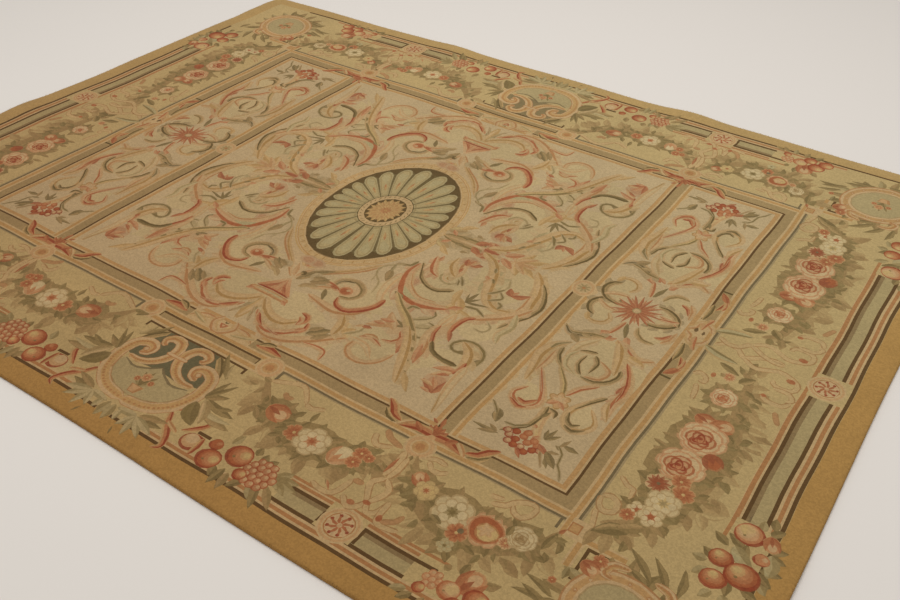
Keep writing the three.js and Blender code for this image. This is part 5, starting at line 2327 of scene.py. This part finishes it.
def wool_material():
    """Everything is laid out in metres of the carpet itself, so it needs no image."""
    material = bpy.data.materials.new("knotted_wool")
    material.use_nodes = True
    tree = material.node_tree
    links = tree.links
    shader = tree.nodes["Principled BSDF"]
    shader.location = (700, 0)
    for name, value in MATT.items():
        shader.inputs[name].default_value = value
    place = node(tree, "ShaderNodeTexCoord", (-1400, 0)).outputs["Object"]
    wool = node(tree, "ShaderNodeAttribute", (-200, 400), attribute_name="wool").outputs["Color"]

    knots = node(tree, "ShaderNodeTexVoronoi", (-900, 200))
    knots.inputs["Scale"].default_value = 1 / KNOT
    links.new(place, knots.inputs["Vector"])
    knot_tone = node(tree, "ShaderNodeSeparateColor", (-700, 200))
    links.new(knots.outputs["Color"], knot_tone.inputs["Color"])
    by_knot = as_tone(tree, knot_tone.outputs["Red"], KNOT_STRAY, (-500, 200))
    batches = noise(tree, mapped(tree, place, (5.0, 0.25, 1.0), (-1100, 0)), 1.0, 3.0, (-900, 0))
    by_batch = as_tone(tree, batches, BATCH_STRAY, (-500, 0))
    # Painted light and shade where the pile was brushed this way and that.
    brushed_pile_sheen = noise(tree, mapped(tree, place, (3.0, 5.0, 1.0), (-1100, -200)), 1.3, 4.0, (-900, -200))
    by_painted_sheen = as_tone(tree, brushed_pile_sheen, PAINTED_SHEEN_STRAY, (-500, -200))
    flecks = noise(tree, place, FLECKS, 3.0, (-900, -400))
    by_fleck = as_tone(tree, flecks, FLECK_STRAY, (-500, -400))
    tone = times(tree, by_knot, by_batch, (-300, 100))
    tone = times(tree, tone, by_painted_sheen, (-150, 0))
    tone = times(tree, tone, by_fleck, (0, -100))
    # Painted shade: the wool is darker towards the near side and lighter towards the far side.
    across = node(tree, "ShaderNodeSeparateXYZ", (-900, -800))
    links.new(place, across.inputs["Vector"])
    far_y = CARPET_WIDTH / 2000
    painted_shade_near_to_far = as_range(tree, across.outputs["Y"], -far_y, far_y, NEAR_PAINTED_SHADE, FAR_PAINTED_LIGHT, (-500, -800))
    tone = times(tree, tone, painted_shade_near_to_far, (100, -200))
    shade = node(tree, "ShaderNodeVectorMath", (250, 200), operation="SCALE")
    links.new(wool, shade.inputs[0])
    links.new(tone, shade.inputs["Scale"])

    # The painted shade and light also change tint, from the near left to the far right.
    slope = node(tree, "ShaderNodeVectorMath", (-900, -1000), operation="DOT_PRODUCT")
    links.new(place, slope.inputs[0])
    slope.inputs[1].default_value = SLOPE_TO_FAR_RIGHT
    share = as_range(tree, slope.outputs["Value"], -1.0, 1.0, 0.0, 1.0, (-700, -1000))
    painted_light_tints = node(tree, "ShaderNodeMix", (-500, -1000), data_type="RGBA")
    links.new(share, painted_light_tints.inputs["Factor"])
    for name, tint in (("A", NEAR_LEFT_PAINTED_SHADE), ("B", FAR_RIGHT_PAINTED_LIGHT)):
        socket = next(s for s in painted_light_tints.inputs if s.name == name and s.type == "RGBA")
        socket.default_value = (*tint, 1.0)
    painted_light_tint = next(s for s in painted_light_tints.outputs if s.type == "RGBA")
    with_painted_light = node(tree, "ShaderNodeVectorMath", (450, 200), operation="MULTIPLY")
    links.new(shade.outputs["Vector"], with_painted_light.inputs[0])
    links.new(painted_light_tint, with_painted_light.inputs[1])
    links.new(with_painted_light.outputs["Vector"], shader.inputs["Base Color"])

    fibres = noise(tree, place, FIBRES, 4.0, (-900, -600))
    knot_bump = bump(tree, knots.outputs["Distance"], KNOT_HEIGHT, KNOT_STRENGTH, (300, -300))
    fibre_bump = bump(tree, fibres, FIBRE_HEIGHT, FIBRE_STRENGTH, (500, -300))
    links.new(knot_bump.outputs["Normal"], fibre_bump.inputs["Normal"])
    links.new(fibre_bump.outputs["Normal"], shader.inputs["Normal"])
    return material


wool_cloth = wool_material()
carpet.data.materials.append(wool_cloth)
print("nodes in the wool:", len(wool_cloth.node_tree.nodes))

# %% [markdown]
# ## Loose tufts along the edge
# Where a cut pile rounds over at the edge it is never shaved quite clean, and short tufts
# stand a little proud all the way round. One tuft repeated along a line is work for Geometry
# Nodes: the line gives the places, a seeded random value gives each tuft its own size and
# lean, and Realize Instances turns the copies into real mesh at the end.

# %% The tree that sets tufts along a line
LEAN_SEED = 3
SIZE_SEED = 5
LEAN_RANGE = (-0.5, -0.5, 0.5), (0.5, 0.5, 1.0)
SIZE_RANGE = (0.6, 0.6, 0.6), (1.2, 1.2, 1.2)


def random_vector(tree, span, seed):
    """A random vector for each tuft, the same on every run."""
    made = node(tree, "FunctionNodeRandomValue", data_type="FLOAT_VECTOR")
    made.inputs[0].default_value, made.inputs[1].default_value = span
    made.inputs["Seed"].default_value = seed
    return made.outputs[0]


def tuft_tree():
    """Its inputs are the line, and the measures that a user may want to change."""
    tree = bpy.data.node_groups.new("tufts_along_a_line", "GeometryNodeTree")
    new_socket = tree.interface.new_socket
    new_socket("Line", in_out="INPUT", socket_type="NodeSocketGeometry")
    for name in ("Spacing", "Tuft length", "Tuft width", "Lean outwards"):
        new_socket(name, in_out="INPUT", socket_type="NodeSocketFloat")
    new_socket("Wool", in_out="INPUT", socket_type="NodeSocketMaterial")
    new_socket("Tufts", in_out="OUTPUT", socket_type="NodeSocketGeometry")
    link = tree.links.new
    given = node(tree, "NodeGroupInput").outputs

    line = node(tree, "GeometryNodeMeshToCurve")
    link(given["Line"], line.inputs["Mesh"])
    spaced = node(tree, "GeometryNodeResampleCurve", mode="LENGTH")
    link(line.outputs["Curve"], spaced.inputs["Curve"])
    link(given["Spacing"], spaced.inputs["Length"])

    # One tuft is a cone with four sides.
    tuft = node(tree, "GeometryNodeMeshCone")
    tuft.inputs["Vertices"].default_value = 4
    link(given["Tuft length"], tuft.inputs["Depth"])
    link(given["Tuft width"], tuft.inputs["Radius Bottom"])

    # It points outwards and up: the line's direction crossed with up, and a random lean.
    tangent = node(tree, "GeometryNodeInputTangent")
    outwards = node(tree, "ShaderNodeVectorMath", operation="CROSS_PRODUCT")
    link(tangent.outputs[0], outwards.inputs[0])
    outwards.inputs[1].default_value = (0, 0, 1)
    leaning = node(tree, "ShaderNodeVectorMath", operation="SCALE")
    link(outwards.outputs["Vector"], leaning.inputs[0])
    link(given["Lean outwards"], leaning.inputs["Scale"])
    pointing = node(tree, "ShaderNodeVectorMath", operation="ADD")
    link(leaning.outputs["Vector"], pointing.inputs[0])
    link(random_vector(tree, LEAN_RANGE, LEAN_SEED), pointing.inputs[1])
    turned = node(tree, "FunctionNodeAlignRotationToVector", axis="Z")
    link(pointing.outputs["Vector"], turned.inputs["Vector"])

    copies = node(tree, "GeometryNodeInstanceOnPoints")
    link(spaced.outputs["Curve"], copies.inputs["Points"])
    link(tuft.outputs["Mesh"], copies.inputs["Instance"])
    link(turned.outputs["Rotation"], copies.inputs["Rotation"])
    link(random_vector(tree, SIZE_RANGE, SIZE_SEED), copies.inputs["Scale"])
    real = node(tree, "GeometryNodeRealizeInstances")
    link(copies.outputs["Instances"], real.inputs["Geometry"])
    woolly = node(tree, "GeometryNodeSetMaterial")
    link(real.outputs["Geometry"], woolly.inputs["Geometry"])
    link(given["Wool"], woolly.inputs["Material"])
    link(woolly.outputs["Geometry"], node(tree, "NodeGroupOutput").inputs["Tufts"])
    return tree


tufts_on_line = tuft_tree()
print("inputs of the tree:", [socket.name for socket in tufts_on_line.interface.items_tree])

# %% [markdown]
# The line is the carpet's own rim, drawn in a little. The modifier is turned into plain mesh
# at once, and the tufts then take the gold of the edge beside them.

# %% Tufts all the way round
TUFT_SETTINGS = {"Spacing": 0.0065, "Tuft length": 0.0055, "Tuft width": 0.0021, "Lean outwards": 0.8}
TUFT_INSET = 4.0
TUFT_ROOT = 8.8

edge_line = on_carpet(rim(TUFT_INSET), TUFT_ROOT)
line_mesh = bpy.data.meshes.new("edge_tufts")
line_mesh.from_pydata(edge_line.tolist(), closed_chain(len(edge_line)).tolist(), [])
tufts = bpy.data.objects.new("edge_tufts", line_mesh)
bpy.context.scene.collection.objects.link(tufts)
modifier = tufts.modifiers.new("tufts", "NODES")
modifier.node_group = tufts_on_line
TUFT_SETTINGS["Wool"] = wool_cloth
for socket in modifier.node_group.interface.items_tree:
    if socket.name in TUFT_SETTINGS:
        modifier[socket.identifier] = TUFT_SETTINGS[socket.name]
grown = tufts.evaluated_get(bpy.context.evaluated_depsgraph_get())
plain_mesh = bpy.data.meshes.new_from_object(grown)
tufts.modifiers.clear()
tufts.data = plain_mesh
# The evaluated mesh brings an empty first slot along, so the slots are set anew.
plain_mesh.materials.clear()
plain_mesh.materials.append(wool_cloth)
plain_mesh.polygons.foreach_set("material_index", [0] * len(plain_mesh.polygons))
corner_points = np.array([plain_mesh.vertices[corner.vertex_index].co for corner in plain_mesh.loops])
dye(plain_mesh, edge_wool(corner_points[:, :2] * 1000))
print("tuft faces:", len(plain_mesh.polygons))

# %% [markdown]
# ## Camera, floor and light
# The camera looks down from a corner with a moderate lens. The floor is plain and pale, and
# one broad soft light with a bright surround leaves only a faint shadow at the near edge.

# %% Camera
IMAGE_WIDTH = 900
FOCAL_PIXELS = 967.68
SENSOR = 36.0
AZIMUTH, ELEVATION, ROLL = (math.radians(angle) for angle in (34.016, 37.2765, 0.843))
LOOK_AT = Vector((0.5007, -0.3121, 0.0))
DISTANCE = 3.1130
FURTHEST_SEEN = 60

level_reach = math.cos(ELEVATION)
back = Vector((math.sin(AZIMUTH) * level_reach, -math.cos(AZIMUTH) * level_reach, math.sin(ELEVATION)))
right = (-back).cross(Vector((0, 0, 1))).normalized()
up = right.cross(-back)
rolled_right = right * math.cos(ROLL) + up * math.sin(ROLL)
rolled_up = up * math.cos(ROLL) - right * math.sin(ROLL)
camera_data = bpy.data.cameras.new("camera")
camera_data.sensor_width = SENSOR
camera_data.lens = FOCAL_PIXELS / IMAGE_WIDTH * SENSOR
camera_data.clip_end = FURTHEST_SEEN
camera = bpy.data.objects.new("camera", camera_data)
turn = Matrix((rolled_right, rolled_up, back)).transposed().to_4x4()
camera.matrix_world = Matrix.Translation(LOOK_AT + back * DISTANCE) @ turn
bpy.context.scene.collection.objects.link(camera)
bpy.context.scene.camera = camera
print("lens in millimetres:", round(camera_data.lens, 1))

# %% [markdown]
# A disk of light wider than the carpet, high above it, gives soft shadows. The surround fills
# them, as the walls of a bright room would.

# %% Floor and light
FLOOR_REACH = 14.0
FLOOR_PAINT = skein(217, 210, 202)
FLOOR_ROUGHNESS = 0.9
SURROUND = (1.0, 0.99, 0.97, 1)
SURROUND_STRENGTH = 0.58
LAMP_PLACE, LAMP_AIM = (-0.2, 0.6, 5.5), (0.2, 0, 0)
LAMP_SIZE = 5.0
LAMP_WATTS = 185

floor_mesh = bpy.data.meshes.new("studio_floor")
corners = [(x * FLOOR_REACH, y * FLOOR_REACH, 0) for x, y in ((-1, -1), (1, -1), (1, 1), (-1, 1))]
floor_mesh.from_pydata(corners, [], [(0, 1, 2, 3)])
floor = bpy.data.objects.new("studio_floor", floor_mesh)
bpy.context.scene.collection.objects.link(floor)
floor_paint = bpy.data.materials.new("studio_floor")
floor_paint.use_nodes = True
floor_shader = floor_paint.node_tree.nodes["Principled BSDF"]
floor_shader.inputs["Base Color"].default_value = (*FLOOR_PAINT, 1)
floor_shader.inputs["Roughness"].default_value = FLOOR_ROUGHNESS
floor_mesh.materials.append(floor_paint)

world = bpy.context.scene.world or bpy.data.worlds.new("studio")
bpy.context.scene.world = world
world.use_nodes = True
surround = world.node_tree.nodes["Background"]
surround.inputs["Color"].default_value = SURROUND
surround.inputs["Strength"].default_value = SURROUND_STRENGTH

lamp = bpy.data.lights.new("overhead", "AREA")
lamp.shape = "DISK"
lamp.size = LAMP_SIZE
lamp.energy = LAMP_WATTS
light = bpy.data.objects.new("overhead", lamp)
light.location = LAMP_PLACE
light.rotation_euler = (Vector(LAMP_AIM) - Vector(LAMP_PLACE)).to_track_quat("-Z", "Y").to_euler()
bpy.context.scene.collection.objects.link(light)
print("floor", 2 * FLOOR_REACH, "m wide, lamp", LAMP_SIZE, "m wide")

# The plain view transform keeps each wool as it was dyed.
bpy.context.scene.view_settings.view_transform = "Standard"

# %% [markdown]
# ## Say what the piece is
# The carpet is one sheet of cloth that lies on the floor. It stands for the solid in the
# construction model and moves with it.

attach(carpet, "root")
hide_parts("knotted_carpet")
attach(tufts, "root")
